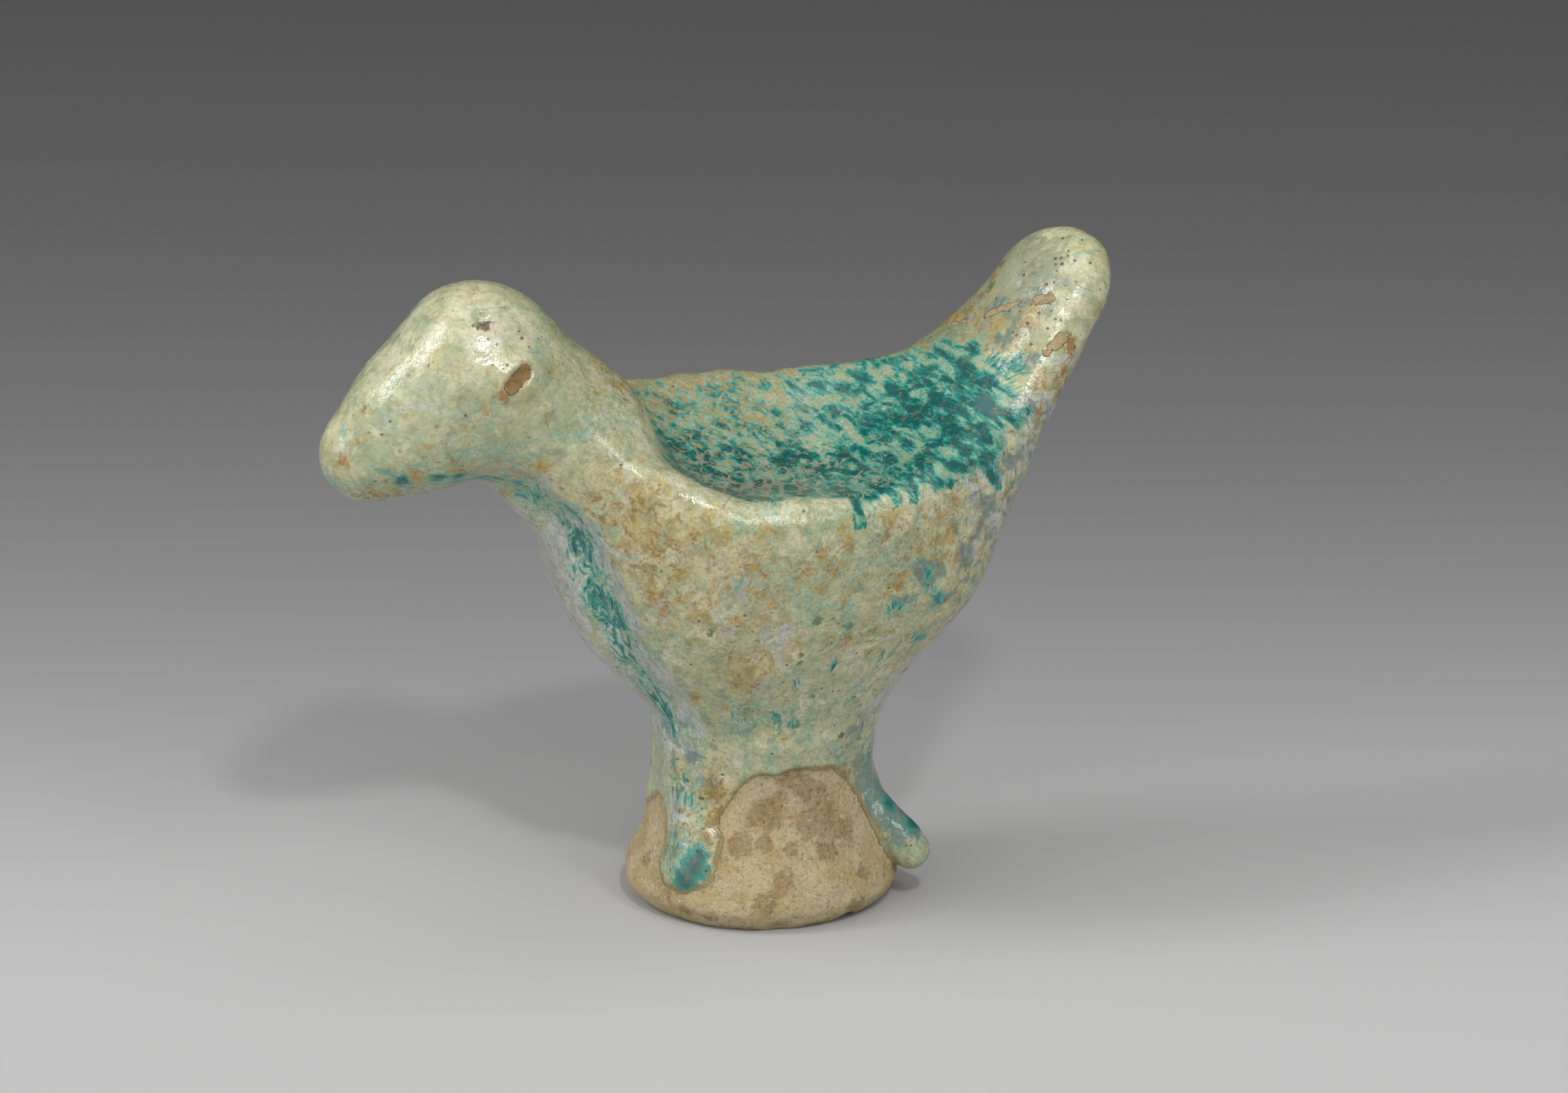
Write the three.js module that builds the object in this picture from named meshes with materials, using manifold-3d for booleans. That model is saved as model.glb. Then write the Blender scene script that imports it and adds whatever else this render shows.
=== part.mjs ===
// A small glazed ceramic bird on a flared clay foot, modelled by hand as one solid lump:
// a drooping head, a dished back, an upswept paddle tail, and glaze that ran down the foot in drips.
// Millimetres, +Z up. The origin is the centre of the flat underside of the foot.
// The bird looks along -X, so its left side faces -Y.

import * as THREE from "three";
import { mergeVertices } from "three/addons/utils/BufferGeometryUtils.js";
import Module from "manifold-3d";

// Driving dimensions.
const CELL = 2.1; // size of the grid cells that the clay surface is traced with
const SMOOTHING_ROUNDS = 6;
const WAIST_Z = 17; // height of the narrow waist between body and foot
const LEAN = THREE.MathUtils.degToRad(7.5); // the body leans to its left on the foot
const FOOT_RADIUS = 15.6;

// The foot is a body of revolution: [height, radius].
const FOOT_PROFILE = [
  [-3, 9.5],
  [-1.5, 11.5],
  [0, 13.4],
  [1.2, 14.8],
  [2.8, FOOT_RADIUS],
  [5, 15.2],
  [7.7, 13.8],
  [11, 12.1],
  [15, 10.5],
  [20, 9.6],
];
// Its neck stands off centre by this much at height z, and less above and below.
const FOOT_SWAY = { x: 0.9, y: -0.3, z: 11, reach: 5 };

// Horizontal sections of the body, in the bird's own upright frame:
// [height, how far the breast reaches forward, how far the rump reaches back, half width].
const BODY_SECTIONS = [
  [10, 10, 10, 9.5],
  [16.6, 10.3, 10.6, 9.6],
  [21.8, 12.2, 12.8, 11.3],
  [28.4, 17.8, 16.8, 13.6],
  [35, 23.0, 20.6, 16.3],
  [43, 26.2, 22.7, 18.4],
  [51, 27.0, 24.2, 19.2],
  [60, 25.5, 26.0, 19.0],
];

// The dished back between neck and tail: [x, height on the centre line].
const BACK_LINE = [
  [-32, 65],
  [-24, 61.5],
  [-18, 57.7],
  [-8, 51.8],
  [4, 51.1],
  [12, 53.3],
  [20, 56.5],
  [27, 57],
  [34, 57],
];
const DISH_DEPTH = 5.6; // the rims stand this much above the centre line
const RIM_TILT = 0.9; // and the right rim stands higher than the left, by twice this
const RIM_ROUND = 5.5;

// Head and neck, as balls joined by tapering lengths: centre and radius.
const BEAK = { at: new THREE.Vector3(-45.9, 0, 57.7), r: 5.2 };
const CHEEK = { at: new THREE.Vector3(-40.2, 0, 61.3), r: 7.6 };
const HEAD = { at: new THREE.Vector3(-34.3, 0, 65.6), r: 8.9 };
const NECK = { at: new THREE.Vector3(-24.0, 0, 57.0), r: 8.9 };

// The tail is a flat paddle that bends a little to the bird's right: root and tip centres, the way its
// left edge points, half widths, half thicknesses, the length of its rounded end, and how square it is.
const TAIL = {
  root: new THREE.Vector3(15.0, 0, 41.9),
  tip: new THREE.Vector3(33.0, 5.6, 65.1),
  leftEdge: new THREE.Vector3(0.27, -0.94, 0.21),
  rootWidth: 13.6,
  tipWidth: 8.2,
  rootThick: 6.6,
  tipThick: 4.3,
  endLength: 9,
  squareness: 2.3,
};

// A groove runs down each side of the breast. It is pressed in by a rod that passes these points
// on the left side, in the bird's own frame: centre and radius. The right side mirrors it.
const GROOVE = [
  { at: new THREE.Vector3(-34.0, -8.4, 55.4), r: 1.6 },
  { at: new THREE.Vector3(-31.6, -7.4, 52.8), r: 2.6 },
  { at: new THREE.Vector3(-28.3, -8.2, 49.0), r: 3.0 },
  { at: new THREE.Vector3(-25.3, -10.2, 45.2), r: 3.0 },
  { at: new THREE.Vector3(-22.5, -10.8, 38.6), r: 3.0 },
  { at: new THREE.Vector3(-18.5, -9.6, 31.2), r: 2.9 },
  { at: new THREE.Vector3(-15.0, -8.6, 26.5), r: 2.4 },
  { at: new THREE.Vector3(-13.2, -8.6, 22.0), r: 1.6 },
];
const GROOVE_ROUND = 2.0;

// Small marks on the head, as flattened balls set in the surface near a point in the bird's own frame.
// Half length, half width and half depth, how far the centre lies below the surface, and the turn
// of the length about the mark's own axis. Each eye is a low pellet of clay with a hollow in it.
const PELLETS = [
  { near: new THREE.Vector3(-32.4, -8.2, 68.1), size: [3.0, 2.5, 1.05], sunk: 0.5, turn: 0.5 },
  { near: new THREE.Vector3(-32.4, 8.2, 68.1), size: [3.0, 2.5, 1.05], sunk: 0.5, turn: -0.5 },
];
const HOLLOWS = [
  { near: new THREE.Vector3(-32.6, -8.4, 68.4), size: [1.8, 1.05, 0.9], sunk: -0.35, turn: 0.7 },
  { near: new THREE.Vector3(-32.6, 8.4, 68.4), size: [1.8, 1.05, 0.9], sunk: -0.35, turn: -0.7 },
  { near: new THREE.Vector3(-35.4, -4.6, 74.0), size: [1.25, 1.05, 0.6], sunk: 0, turn: 0 },
];

// Glaze that ran down to the foot, as chains of beads sunk into the surface:
// [angle in degrees, height, how far it stands out, bead radius].
const DRIP_CELL = 1.3;
const DRIPS = [
  [
    [-150, 27, -1.0, 3.4],
    [-155, 21, 0.5, 3.6],
    [-157, 16, 0.9, 3.5],
    [-151, 11.5, 0.8, 3.4],
    [-146, 8.0, 0.7, 3.3],
    [-144.5, 6.3, 1.0, 3.1],
  ],
  [
    [-44, 26, -1.0, 2.8],
    [-38, 19, 0.2, 2.8],
    [-34, 13.5, 0.6, 2.2],
    [-33, 10, 1.7, 1.9],
    [-32, 7.6, 3.2, 1.9],
    [-32, 6.0, 4.1, 2.1],
  ],
  [
    [158, 26, -1.2, 2.8],
    [160, 18, -0.5, 3.0],
    [161, 12.5, -0.3, 2.6],
  ],
  [
    [64, 26, -1.0, 3.0],
    [60, 17, 0.5, 3.0],
    [57, 10, 1.0, 2.6],
  ],
];

// Smooth interpolation through a short table, by a monotone cubic.
function smoothTable(table, column = 1) {
  const xs = table.map((row) => row[0]);
  const ys = table.map((row) => row[column]);
  const last = xs.length - 1;
  const slopes = xs.map((_, i) => {
    if (i === 0 || i === last) return 0;
    const before = (ys[i] - ys[i - 1]) / (xs[i] - xs[i - 1]);
    const after = (ys[i + 1] - ys[i]) / (xs[i + 1] - xs[i]);
    return before * after <= 0 ? 0 : (2 * before * after) / (before + after);
  });
  slopes[0] = (ys[1] - ys[0]) / (xs[1] - xs[0]);
  slopes[last] = (ys[last] - ys[last - 1]) / (xs[last] - xs[last - 1]);
  return (x) => {
    if (x <= xs[0]) return ys[0] + slopes[0] * (x - xs[0]);
    if (x >= xs[last]) return ys[last] + slopes[last] * (x - xs[last]);
    let i = 0;
    while (x > xs[i + 1]) i++;
    const span = xs[i + 1] - xs[i];
    const t = (x - xs[i]) / span;
    const t2 = t * t;
    const t3 = t2 * t;
    return (
      (2 * t3 - 3 * t2 + 1) * ys[i] +
      (t3 - 2 * t2 + t) * span * slopes[i] +
      (3 * t2 - 2 * t3) * ys[i + 1] +
      (t3 - t2) * span * slopes[i + 1]
    );
  };
}

const footRadius = smoothTable(FOOT_PROFILE);
const breast = smoothTable(BODY_SECTIONS, 1);
const rump = smoothTable(BODY_SECTIONS, 2);
const halfWidth = smoothTable(BODY_SECTIONS, 3);
const backLine = smoothTable(BACK_LINE);

// Clay joins: a soft union and a soft intersection of two distances.
function softMin(a, b, k) {
  const h = Math.max(k - Math.abs(a - b), 0) / k;
  return Math.min(a, b) - (h * h * k) / 4;
}
function softMax(a, b, k) {
  return -softMin(-a, -b, k);
}

// Distance to the cone that wraps two balls.
const segment = new THREE.Vector3();
const offset = new THREE.Vector3();
function taper(p, a, b) {
  segment.subVectors(b.at, a.at);
  offset.subVectors(p, a.at);
  const length = segment.length();
  const along = offset.dot(segment) / length;
  const out = Math.sqrt(Math.max(offset.lengthSq() - along * along, 0));
  const sine = (a.r - b.r) / length;
  const centre = along - (out * sine) / Math.sqrt(1 - sine * sine);
  const t = THREE.MathUtils.clamp(centre / length, 0, 1);
  return Math.hypot(out, along - t * length) - THREE.MathUtils.lerp(a.r, b.r, t);
}

const tailAlong = new THREE.Vector3().subVectors(TAIL.tip, TAIL.root).normalize();
const tailThrough = new THREE.Vector3().crossVectors(TAIL.leftEdge, tailAlong).normalize();
const tailAcross = new THREE.Vector3().crossVectors(tailAlong, tailThrough);
const tailLength = TAIL.root.distanceTo(TAIL.tip);
function tail(p) {
  offset.subVectors(p, TAIL.root);
  const along = offset.dot(tailAlong);
  const t = THREE.MathUtils.clamp(along / tailLength, 0, 1);
  const width = THREE.MathUtils.lerp(TAIL.rootWidth, TAIL.tipWidth, t);
  const thick = THREE.MathUtils.lerp(TAIL.rootThick, TAIL.tipThick, t);
  const ratios = [
    offset.dot(tailAcross) / width,
    offset.dot(tailThrough) / thick,
    (along - t * tailLength) / TAIL.endLength,
  ];
  const sum = ratios.reduce((total, ratio) => total + Math.abs(ratio) ** TAIL.squareness, 0);
  return (sum ** (1 / TAIL.squareness) - 1) * Math.min(width, thick);
}

function body(p) {
  const front = breast(p.z);
  const back = rump(p.z);
  const middle = (back - front) / 2;
  const half = (back + front) / 2;
  const width = halfWidth(p.z);
  const round = Math.hypot((p.x - middle) / half, p.y / width);
  const sides = (round - 1) * Math.min(half, width) * 0.85;
  const across = p.y / width;
  const top = (p.z - backLine(p.x) - DISH_DEPTH * across * across - RIM_TILT * across) * 0.85;
  return softMax(sides, top, RIM_ROUND);
}

function foot(p) {
  const sway = Math.exp(-(((p.z - FOOT_SWAY.z) / FOOT_SWAY.reach) ** 2));
  const out = Math.hypot(p.x - FOOT_SWAY.x * sway, p.y - FOOT_SWAY.y * sway);
  return (out - footRadius(p.z)) * 0.9;
}

// A chain of balls, joined by tapering lengths.
function chain(p, balls, round) {
  let d = Infinity;
  for (let i = 1; i < balls.length; i++) {
    const length = taper(p, balls[i - 1], balls[i]);
    d = d === Infinity ? length : softMin(d, length, round);
  }
  return d;
}

// The bird leans as a whole about the waist; the foot stands upright.
const waist = new THREE.Vector3(0, 0, WAIST_Z);
const leanAxis = new THREE.Vector3(1, 0, 0);
function lean(p, angle) {
  return p.sub(waist).applyAxisAngle(leanAxis, angle).add(waist);
}
const upright = new THREE.Vector3();
const leftSide = new THREE.Vector3();
function clay(p) {
  lean(upright.copy(p), -LEAN);
  let d = body(upright);
  d = softMin(d, taper(upright, NECK, HEAD), 4.5);
  d = softMin(d, taper(upright, HEAD, CHEEK), 3);
  d = softMin(d, taper(upright, CHEEK, BEAK), 2);
  d = softMin(d, tail(upright), 5);
  leftSide.set(upright.x, -Math.abs(upright.y), upright.z);
  d = softMax(d, -chain(leftSide, GROOVE, 1), GROOVE_ROUND);
  const lower = Math.max(foot(p), p.z - WAIST_Z - 1, -4 - p.z);
  d = softMin(Math.max(d, WAIST_Z - 6 - p.z), lower, 6);
  return d;
}

// The point at some height and angle about the axis, this far outside the clay.
function onAxisRay(angle, z, outside) {
  let inner = 0;
  let outer = 40;
  const at = (out) => new THREE.Vector3(out * Math.cos(angle), out * Math.sin(angle), z);
  while (outer - inner > 0.01) {
    const middle = (inner + outer) / 2;
    if (clay(at(middle)) < 0) inner = middle;
    else outer = middle;
  }
  return at(inner + outside);
}

// Traces the surface where a distance field is zero, as one closed mesh of shared vertices:
// one vertex in each grid cell that the surface crosses, moved onto the surface.
function traceSurface(field, low, high, cell) {
  const size = [0, 1, 2].map(
    (i) => Math.ceil((high.getComponent(i) - low.getComponent(i)) / cell) + 1,
  );
  const node = (i, j, k) => (k * size[1] + j) * size[0] + i;
  const values = new Float64Array(size[0] * size[1] * size[2]);
  const p = new THREE.Vector3();
  for (let k = 0; k < size[2]; k++)
    for (let j = 0; j < size[1]; j++)
      for (let i = 0; i < size[0]; i++)
        values[node(i, j, k)] = field(
          p.set(low.x + i * cell, low.y + j * cell, low.z + k * cell),
        );

  const positions = [];
  const vertexOf = new Map();
  const corners = [];
  for (let c = 0; c < 8; c++) corners.push([c & 1, (c >> 1) & 1, c >> 2]);
  const edges = [];
  for (let a = 0; a < 8; a++)
    for (const bit of [1, 2, 4]) if (!(a & bit)) edges.push([a, a | bit]);

  for (let k = 0; k < size[2] - 1; k++)
    for (let j = 0; j < size[1] - 1; j++)
      for (let i = 0; i < size[0] - 1; i++) {
        const v = corners.map(([x, y, z]) => values[node(i + x, j + y, k + z)]);
        let crossings = 0;
        const sum = [0, 0, 0];
        for (const [a, b] of edges) {
          if (v[a] < 0 === v[b] < 0) continue;
          const t = v[a] / (v[a] - v[b]);
          for (let n = 0; n < 3; n++)
            sum[n] += corners[a][n] + t * (corners[b][n] - corners[a][n]);
          crossings++;
        }
        if (!crossings) continue;
        vertexOf.set(node(i, j, k), positions.length / 3);
        positions.push(
          low.x + (i + sum[0] / crossings) * cell,
          low.y + (j + sum[1] / crossings) * cell,
          low.z + (k + sum[2] / crossings) * cell,
        );
      }

  const faces = [];
  const steps = [node(1, 0, 0), node(0, 1, 0), node(0, 0, 1)];
  for (let k = 1; k < size[2] - 1; k++)
    for (let j = 1; j < size[1] - 1; j++)
      for (let i = 1; i < size[0] - 1; i++) {
        const here = node(i, j, k);
        for (let axis = 0; axis < 3; axis++) {
          const inside = values[here] < 0;
          if (inside === values[here + steps[axis]] < 0) continue;
          const u = steps[(axis + 1) % 3];
          const w = steps[(axis + 2) % 3];
          const ring = [here - u - w, here - w, here, here - u].map((n) => vertexOf.get(n));
          if (!inside) ring.reverse();
          faces.push(ring);
        }
      }
  return { positions, faces };
}

// Evens out the mesh: each vertex moves to the middle of its neighbours.
function relax({ positions, faces }) {
  const sums = new Float64Array(positions.length);
  const counts = new Float64Array(positions.length / 3);
  for (const ring of faces)
    ring.forEach((from, side) => {
      const to = ring[(side + 1) % ring.length];
      for (let n = 0; n < 3; n++) sums[3 * from + n] += positions[3 * to + n];
      counts[from]++;
    });
  for (let n = 0; n < positions.length; n++) positions[n] = sums[n] / counts[Math.floor(n / 3)];
}

// The gradient of a field, by small steps.
function slope(field, p) {
  const step = 0.02;
  const at = (x, y, z) => field(new THREE.Vector3(x, y, z));
  return new THREE.Vector3(
    at(p.x + step, p.y, p.z) - at(p.x - step, p.y, p.z),
    at(p.x, p.y + step, p.z) - at(p.x, p.y - step, p.z),
    at(p.x, p.y, p.z + step) - at(p.x, p.y, p.z - step),
  ).divideScalar(2 * step);
}

// Moves each vertex onto the surface along the field's gradient.
function settle(positions, field, rounds) {
  const p = new THREE.Vector3();
  for (let n = 0; n < positions.length; n += 3) {
    p.fromArray(positions, n);
    for (let round = 0; round < rounds; round++) {
      const g = slope(field, p);
      p.addScaledVector(g, -field(p) / Math.max(g.lengthSq(), 0.05));
    }
    p.toArray(positions, n);
  }
}

// Splits each four-sided face along the diagonal that stays closer to the surface.
function toGeometry({ positions, faces }, field) {
  const at = (i) => new THREE.Vector3().fromArray(positions, 3 * i);
  const index = [];
  for (const [a, b, c, d] of faces) {
    const first = Math.abs(field(at(a).lerp(at(c), 0.5)));
    const second = Math.abs(field(at(b).lerp(at(d), 0.5)));
    if (first < second) index.push(a, b, c, a, c, d);
    else index.push(a, b, d, b, c, d);
  }
  return new THREE.BufferGeometry()
    .setAttribute("position", new THREE.Float32BufferAttribute(positions, 3))
    .setIndex(index);
}

const wasm = await Module();
wasm.setup();

// A closed geometry as a manifold-3d solid, and back.
function toSolid(geometry) {
  const bare = geometry.index ? geometry.toNonIndexed() : geometry.clone();
  for (const name of ["normal", "uv"]) bare.deleteAttribute(name);
  const merged = mergeVertices(bare, 1e-4);
  return new wasm.Manifold(
    new wasm.Mesh({
      numProp: 3,
      vertProperties: merged.attributes.position.array,
      triVerts: new Uint32Array(merged.index.array),
    }),
  );
}
function fromSolid(solid) {
  const mesh = solid.getMesh();
  return new THREE.BufferGeometry()
    .setAttribute("position", new THREE.BufferAttribute(mesh.vertProperties, 3))
    .setIndex(new THREE.BufferAttribute(mesh.triVerts, 1));
}

// A closed, evenly meshed solid of a distance field inside a box.
function fieldSolid(field, low, high, cell) {
  const traced = traceSurface(field, low, high, cell);
  for (let round = 0; round < SMOOTHING_ROUNDS; round++) {
    settle(traced.positions, field, 1);
    relax(traced);
  }
  settle(traced.positions, field, 3);
  return toSolid(toGeometry(traced, field));
}

let solid = fieldSolid(
  clay,
  new THREE.Vector3(-58, -30, -9.1),
  new THREE.Vector3(46, 26, 82),
  CELL,
);

for (const beads of DRIPS) {
  const balls = beads.map(([degrees, z, standOut, r]) => {
    const at = onAxisRay(THREE.MathUtils.degToRad(degrees), z, standOut - r);
    return { at, r };
  });
  const box = new THREE.Box3().setFromPoints(balls.map((ball) => ball.at)).expandByScalar(5);
  const run = (p) => chain(p, balls, 1.5);
  solid = solid.add(fieldSolid(run, box.min, box.max, DRIP_CELL));
}

// A flattened ball that lies in the surface, as a solid.
function mark({ near, size, sunk, turn }) {
  const place = lean(near.clone(), LEAN).toArray();
  settle(place, clay, 6);
  const surface = new THREE.Vector3().fromArray(place);
  const outward = slope(clay, surface).normalize();
  const facing = new THREE.Quaternion().setFromUnitVectors(new THREE.Vector3(0, 0, 1), outward);
  const ball = new THREE.SphereGeometry(1, 16, 10).scale(...size).rotateZ(turn);
  const centre = surface.addScaledVector(outward, -sunk);
  return toSolid(ball.applyQuaternion(facing).translate(centre.x, centre.y, centre.z));
}
for (const pellet of PELLETS) solid = solid.add(mark(pellet));
for (const hollow of HOLLOWS) solid = solid.subtract(mark(hollow));

// The underside is cut flat.
const groundSize = 120;
const ground = new THREE.BoxGeometry(groundSize, groundSize, 20).translate(0, 0, -10);
const birdGeometry = fromSolid(solid.subtract(toSolid(ground)));
birdGeometry.computeVertexNormals();

const glazedClay = new THREE.MeshStandardMaterial({
  color: 0xb9c4a0,
  roughness: 0.3,
  metalness: 0,
});
const bird = new THREE.Mesh(birdGeometry, glazedClay);
bird.name = "bird_figurine";

const figurine = new THREE.Group();
figurine.add(bird);
export default figurine;
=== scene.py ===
"""A small bird of glazed clay on a flared foot: its finely modelled surface, its glaze and its bare clay.

The clay is a field of distances in millimetres, traced as one closed mesh. Named attributes lay the
glaze's colours out on the mesh, and the material breaks them up into spots, dashes and runs.
The bird looks along -X, so its left side faces -Y. It leans a little to its left on an upright foot,
and "the bird's own frame" is the frame in which it stands straight.
"""

import functools
import itertools
import math

import bpy
import numpy as np
from mathutils import Matrix, Vector


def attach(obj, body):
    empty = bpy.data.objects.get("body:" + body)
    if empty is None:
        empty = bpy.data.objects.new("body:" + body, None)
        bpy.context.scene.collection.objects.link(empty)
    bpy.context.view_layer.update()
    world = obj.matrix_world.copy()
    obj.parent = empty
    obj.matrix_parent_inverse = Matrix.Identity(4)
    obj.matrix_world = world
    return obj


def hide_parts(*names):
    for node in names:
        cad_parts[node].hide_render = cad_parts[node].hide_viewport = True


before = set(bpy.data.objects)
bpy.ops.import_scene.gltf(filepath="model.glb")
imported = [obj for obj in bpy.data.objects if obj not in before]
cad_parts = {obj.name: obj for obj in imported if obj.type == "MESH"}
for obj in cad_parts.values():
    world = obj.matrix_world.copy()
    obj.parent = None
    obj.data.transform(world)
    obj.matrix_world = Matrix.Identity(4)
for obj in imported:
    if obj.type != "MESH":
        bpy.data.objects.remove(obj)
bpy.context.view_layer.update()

MM = 0.001

# Sizes of the clay, in millimetres. They are the solid's, but for the smaller hollows on the head.
WAIST_Z = 17  # height of the narrow waist between body and foot
LEAN = math.radians(7.5)
FOOT_RADIUS = 15.6
FOOT_PROFILE = [
    (-3, 9.5), (-1.5, 11.5), (0, 13.4), (1.2, 14.8), (2.8, FOOT_RADIUS), (5, 15.2), (7.7, 13.8), (11, 12.1),
    (15, 10.5), (20, 9.6),
]
FOOT_SWAY = {"x": 0.9, "y": -0.3, "z": 11, "reach": 5}

# Horizontal sections of the body: height, reach of the breast, reach of the rump, half width.
BODY_SECTIONS = [
    (10, 10, 10, 9.5), (16.6, 10.3, 10.6, 9.6), (21.8, 12.2, 12.8, 11.3), (28.4, 17.8, 16.8, 13.6),
    (35, 23.0, 20.6, 16.3), (43, 26.2, 22.7, 18.4), (51, 27.0, 24.2, 19.2), (60, 25.5, 26.0, 19.0),
]
BACK_LINE = [
    (-32, 65), (-24, 61.5), (-18, 57.7), (-8, 51.8), (4, 51.1), (12, 53.3), (20, 56.5), (27, 57), (34, 57),
]
DISH_DEPTH = 5.6  # the rims stand this much above the centre line
RIM_TILT = 0.9  # and the right rim stands higher than the left, by twice this
RIM_ROUND = 5.5

# Balls as (centre, radius).
BEAK = ((-45.9, 0, 57.7), 5.2)
CHEEK = ((-40.2, 0, 61.3), 7.6)
HEAD = ((-34.3, 0, 65.6), 8.9)
NECK = ((-24.0, 0, 57.0), 8.9)
TAIL_ROOT = np.array((15.0, 0, 41.9))
TAIL_TIP = np.array((33.0, 5.6, 65.1))
TAIL_LEFT_EDGE = np.array((0.27, -0.94, 0.21))  # the way its left edge points
TAIL_WIDTH = (13.6, 8.2)
TAIL_THICK = (6.6, 4.3)
TAIL_END = 9  # the length of its rounded end
TAIL_SQUARE = 2.3  # how square its section is: 2 is an ellipse
# A groove down each side of the breast, as a rod pressed in: centre, radius.
GROOVE = [
    ((-34, -8.4, 55.4), 1.6), ((-31.6, -7.4, 52.8), 2.6), ((-28.3, -8.2, 49), 3),
    ((-25.3, -10.2, 45.2), 3), ((-22.5, -10.8, 38.6), 3), ((-18.5, -9.6, 31.2), 2.9),
    ((-15, -8.6, 26.5), 2.4), ((-13.2, -8.6, 22), 1.6),
]
GROOVE_ROUND = 2.0

# How softly each form runs into the rest.
JOIN = {"neck": 4.5, "cheek": 3, "beak": 2, "tail": 5, "groove": 1, "foot": 6, "drip": 1.3, "hanging": 0.7}
BEAD_JOIN = 1.5  # and the beads of a drip into one another
# A stretched form's distance is scaled by these, so that it grows by about one per millimetre.
BODY_SLOPE = 0.85
FOOT_SLOPE = 0.9

# Glaze that ran down to the foot: angle in degrees, height, how far it stands out, bead radius.
DRIPS = {
    "leg": [
        (-150, 27, -1.0, 3.4), (-155, 21, 0.5, 3.6), (-157, 16, 0.9, 3.5),
        (-151, 11.5, 0.8, 3.4), (-146, 8.0, 0.7, 3.3), (-144.5, 6.3, 1.0, 3.1),
    ],
    "hanging": [
        (-44, 26, -1.0, 2.8), (-38, 19, 0.2, 2.8), (-34, 13.5, 0.6, 2.2),
        (-33, 10, 1.7, 1.9), (-32, 7.6, 3.2, 1.9), (-32, 6.0, 4.1, 2.1),
    ],
    "far_front": [(158, 26, -1.2, 2.8), (160, 18, -0.5, 3), (161, 12.5, -0.3, 2.6)],
    "rear": [(64, 26, -1, 3), (60, 17, 0.5, 3), (57, 10, 1, 2.6)],
}

# Marks on the head, as flattened balls set in the surface: near this point, half length, half width and
# half depth, how far the centre lies below the surface, and the turn of the length. Each eye is a pellet
# of clay with a hollow in it: these are the right one's, and the left mirrors them.
PELLET = {"near": (-32.4, 8.2, 68.1), "size": (3.0, 2.5, 1.05), "sunk": 0.5, "turn": -0.5, "adds": True}
HOLLOW = {"near": (-32.6, 8.4, 68.4), "size": (1.75, 0.85, 0.8), "sunk": -0.42, "turn": -0.7, "adds": False}
CROWN = {"near": (-35.4, -4.6, 74.0), "size": (0.9, 0.8, 0.7), "sunk": 0, "turn": 0, "adds": False}

# The lower edge of the glaze around the foot: angle in degrees, height.
GLAZE_EDGE = [
    (-180, 12.9), (-168, 12.4), (-156, 11.4), (-134, 12.0), (-130, 13.0), (-124, 15.0), (-115, 16.9),
    (-108, 17.6), (-93, 17.6), (-72, 17.4), (-60, 16.1), (-47, 12.9), (-44, 10.4), (-38, 9.0), (-20, 12.0),
    (0, 15.5), (25, 14.5), (45, 12.5), (57, 9.5), (75, 13.0), (100, 15.8), (125, 15.0), (145, 13.0),
    (160, 10.2), (172, 11.8), (180, 12.9),
]
# Thin glaze that spread round the end of the leg: angle, height, radius.
LEG_END = [(-156, 7.4, 1.7), (-152, 6.2, 1.6), (-144, 6.0, 1.7), (-137.5, 6.7, 1.6), (-136.5, 9.8, 1.7)]
GLAZE_THICK = 0.38
GLAZE_SUNK = 0.75  # the share of its thickness that lies below the plain form
GLAZE_ROLL = 0.1  # the extra height of its rolled edge

# Unevenness: height, size of the features, seed.
LUMPS = [(0.26, 13, 1), (0.13, 6, 2), (0.05, 2.4, 3)]
GRAIN = [(0.13, 1.6, 4), (0.06, 0.9, 5)]
CHIP_DEPTH = 0.8
CHIP_SIZE = 2.9
CHIPPED_BELOW = 3.2

CELL = 0.435  # size of the cells that the surface is traced with
BLOCK = 4  # cells along each side of a block that is tried before its cells
SPACE = (np.array((-58.0, -30.0, -2.6)), np.array((46.0, 26.0, 82.0)))  # corners of the space traced


# Shapes as distances, over arrays of points


def smooth_table(rows, column=1):
    """Smooth interpolation through a short table, by a monotone cubic."""
    x = np.array([row[0] for row in rows], float)
    y = np.array([row[column] for row in rows], float)
    step = np.diff(y) / np.diff(x)
    slope = np.concatenate([step[:1], np.zeros(len(x) - 2), step[-1:]])
    product = step[:-1] * step[1:]
    rising = product > 0
    slope[1:-1][rising] = 2 * product[rising] / (step[:-1] + step[1:])[rising]

    def at(q):
        i = np.clip(np.searchsorted(x, q) - 1, 0, len(x) - 2)
        span = x[i + 1] - x[i]
        t = np.clip((q - x[i]) / span, 0, 1)
        from_start = (2 * t**3 - 3 * t**2 + 1) * y[i] + (t**3 - 2 * t**2 + t) * span * slope[i]
        to_end = (3 * t**2 - 2 * t**3) * y[i + 1] + (t**3 - t**2) * span * slope[i + 1]
        beyond = slope[0] * np.minimum(q - x[0], 0) + slope[-1] * np.maximum(q - x[-1], 0)
        return from_start + to_end + beyond

    return at


foot_radius = smooth_table(FOOT_PROFILE)
breast = smooth_table(BODY_SECTIONS, 1)
rump = smooth_table(BODY_SECTIONS, 2)
half_width = smooth_table(BODY_SECTIONS, 3)
back_line = smooth_table(BACK_LINE)
glaze_edge = smooth_table(GLAZE_EDGE)


def soft_min(a, b, k):
    h = np.maximum(k - np.abs(a - b), 0) / k
    return np.minimum(a, b) - h * h * k / 4


def soft_max(a, b, k):
    return -soft_min(-a, -b, k)


def smooth(value, none, full):
    """Fades in from 0 to 1 while the value goes from none to full, which may be the smaller one."""
    t = np.clip((value - none) / (full - none), 0, 1)
    return t * t * (3 - 2 * t)


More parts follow.
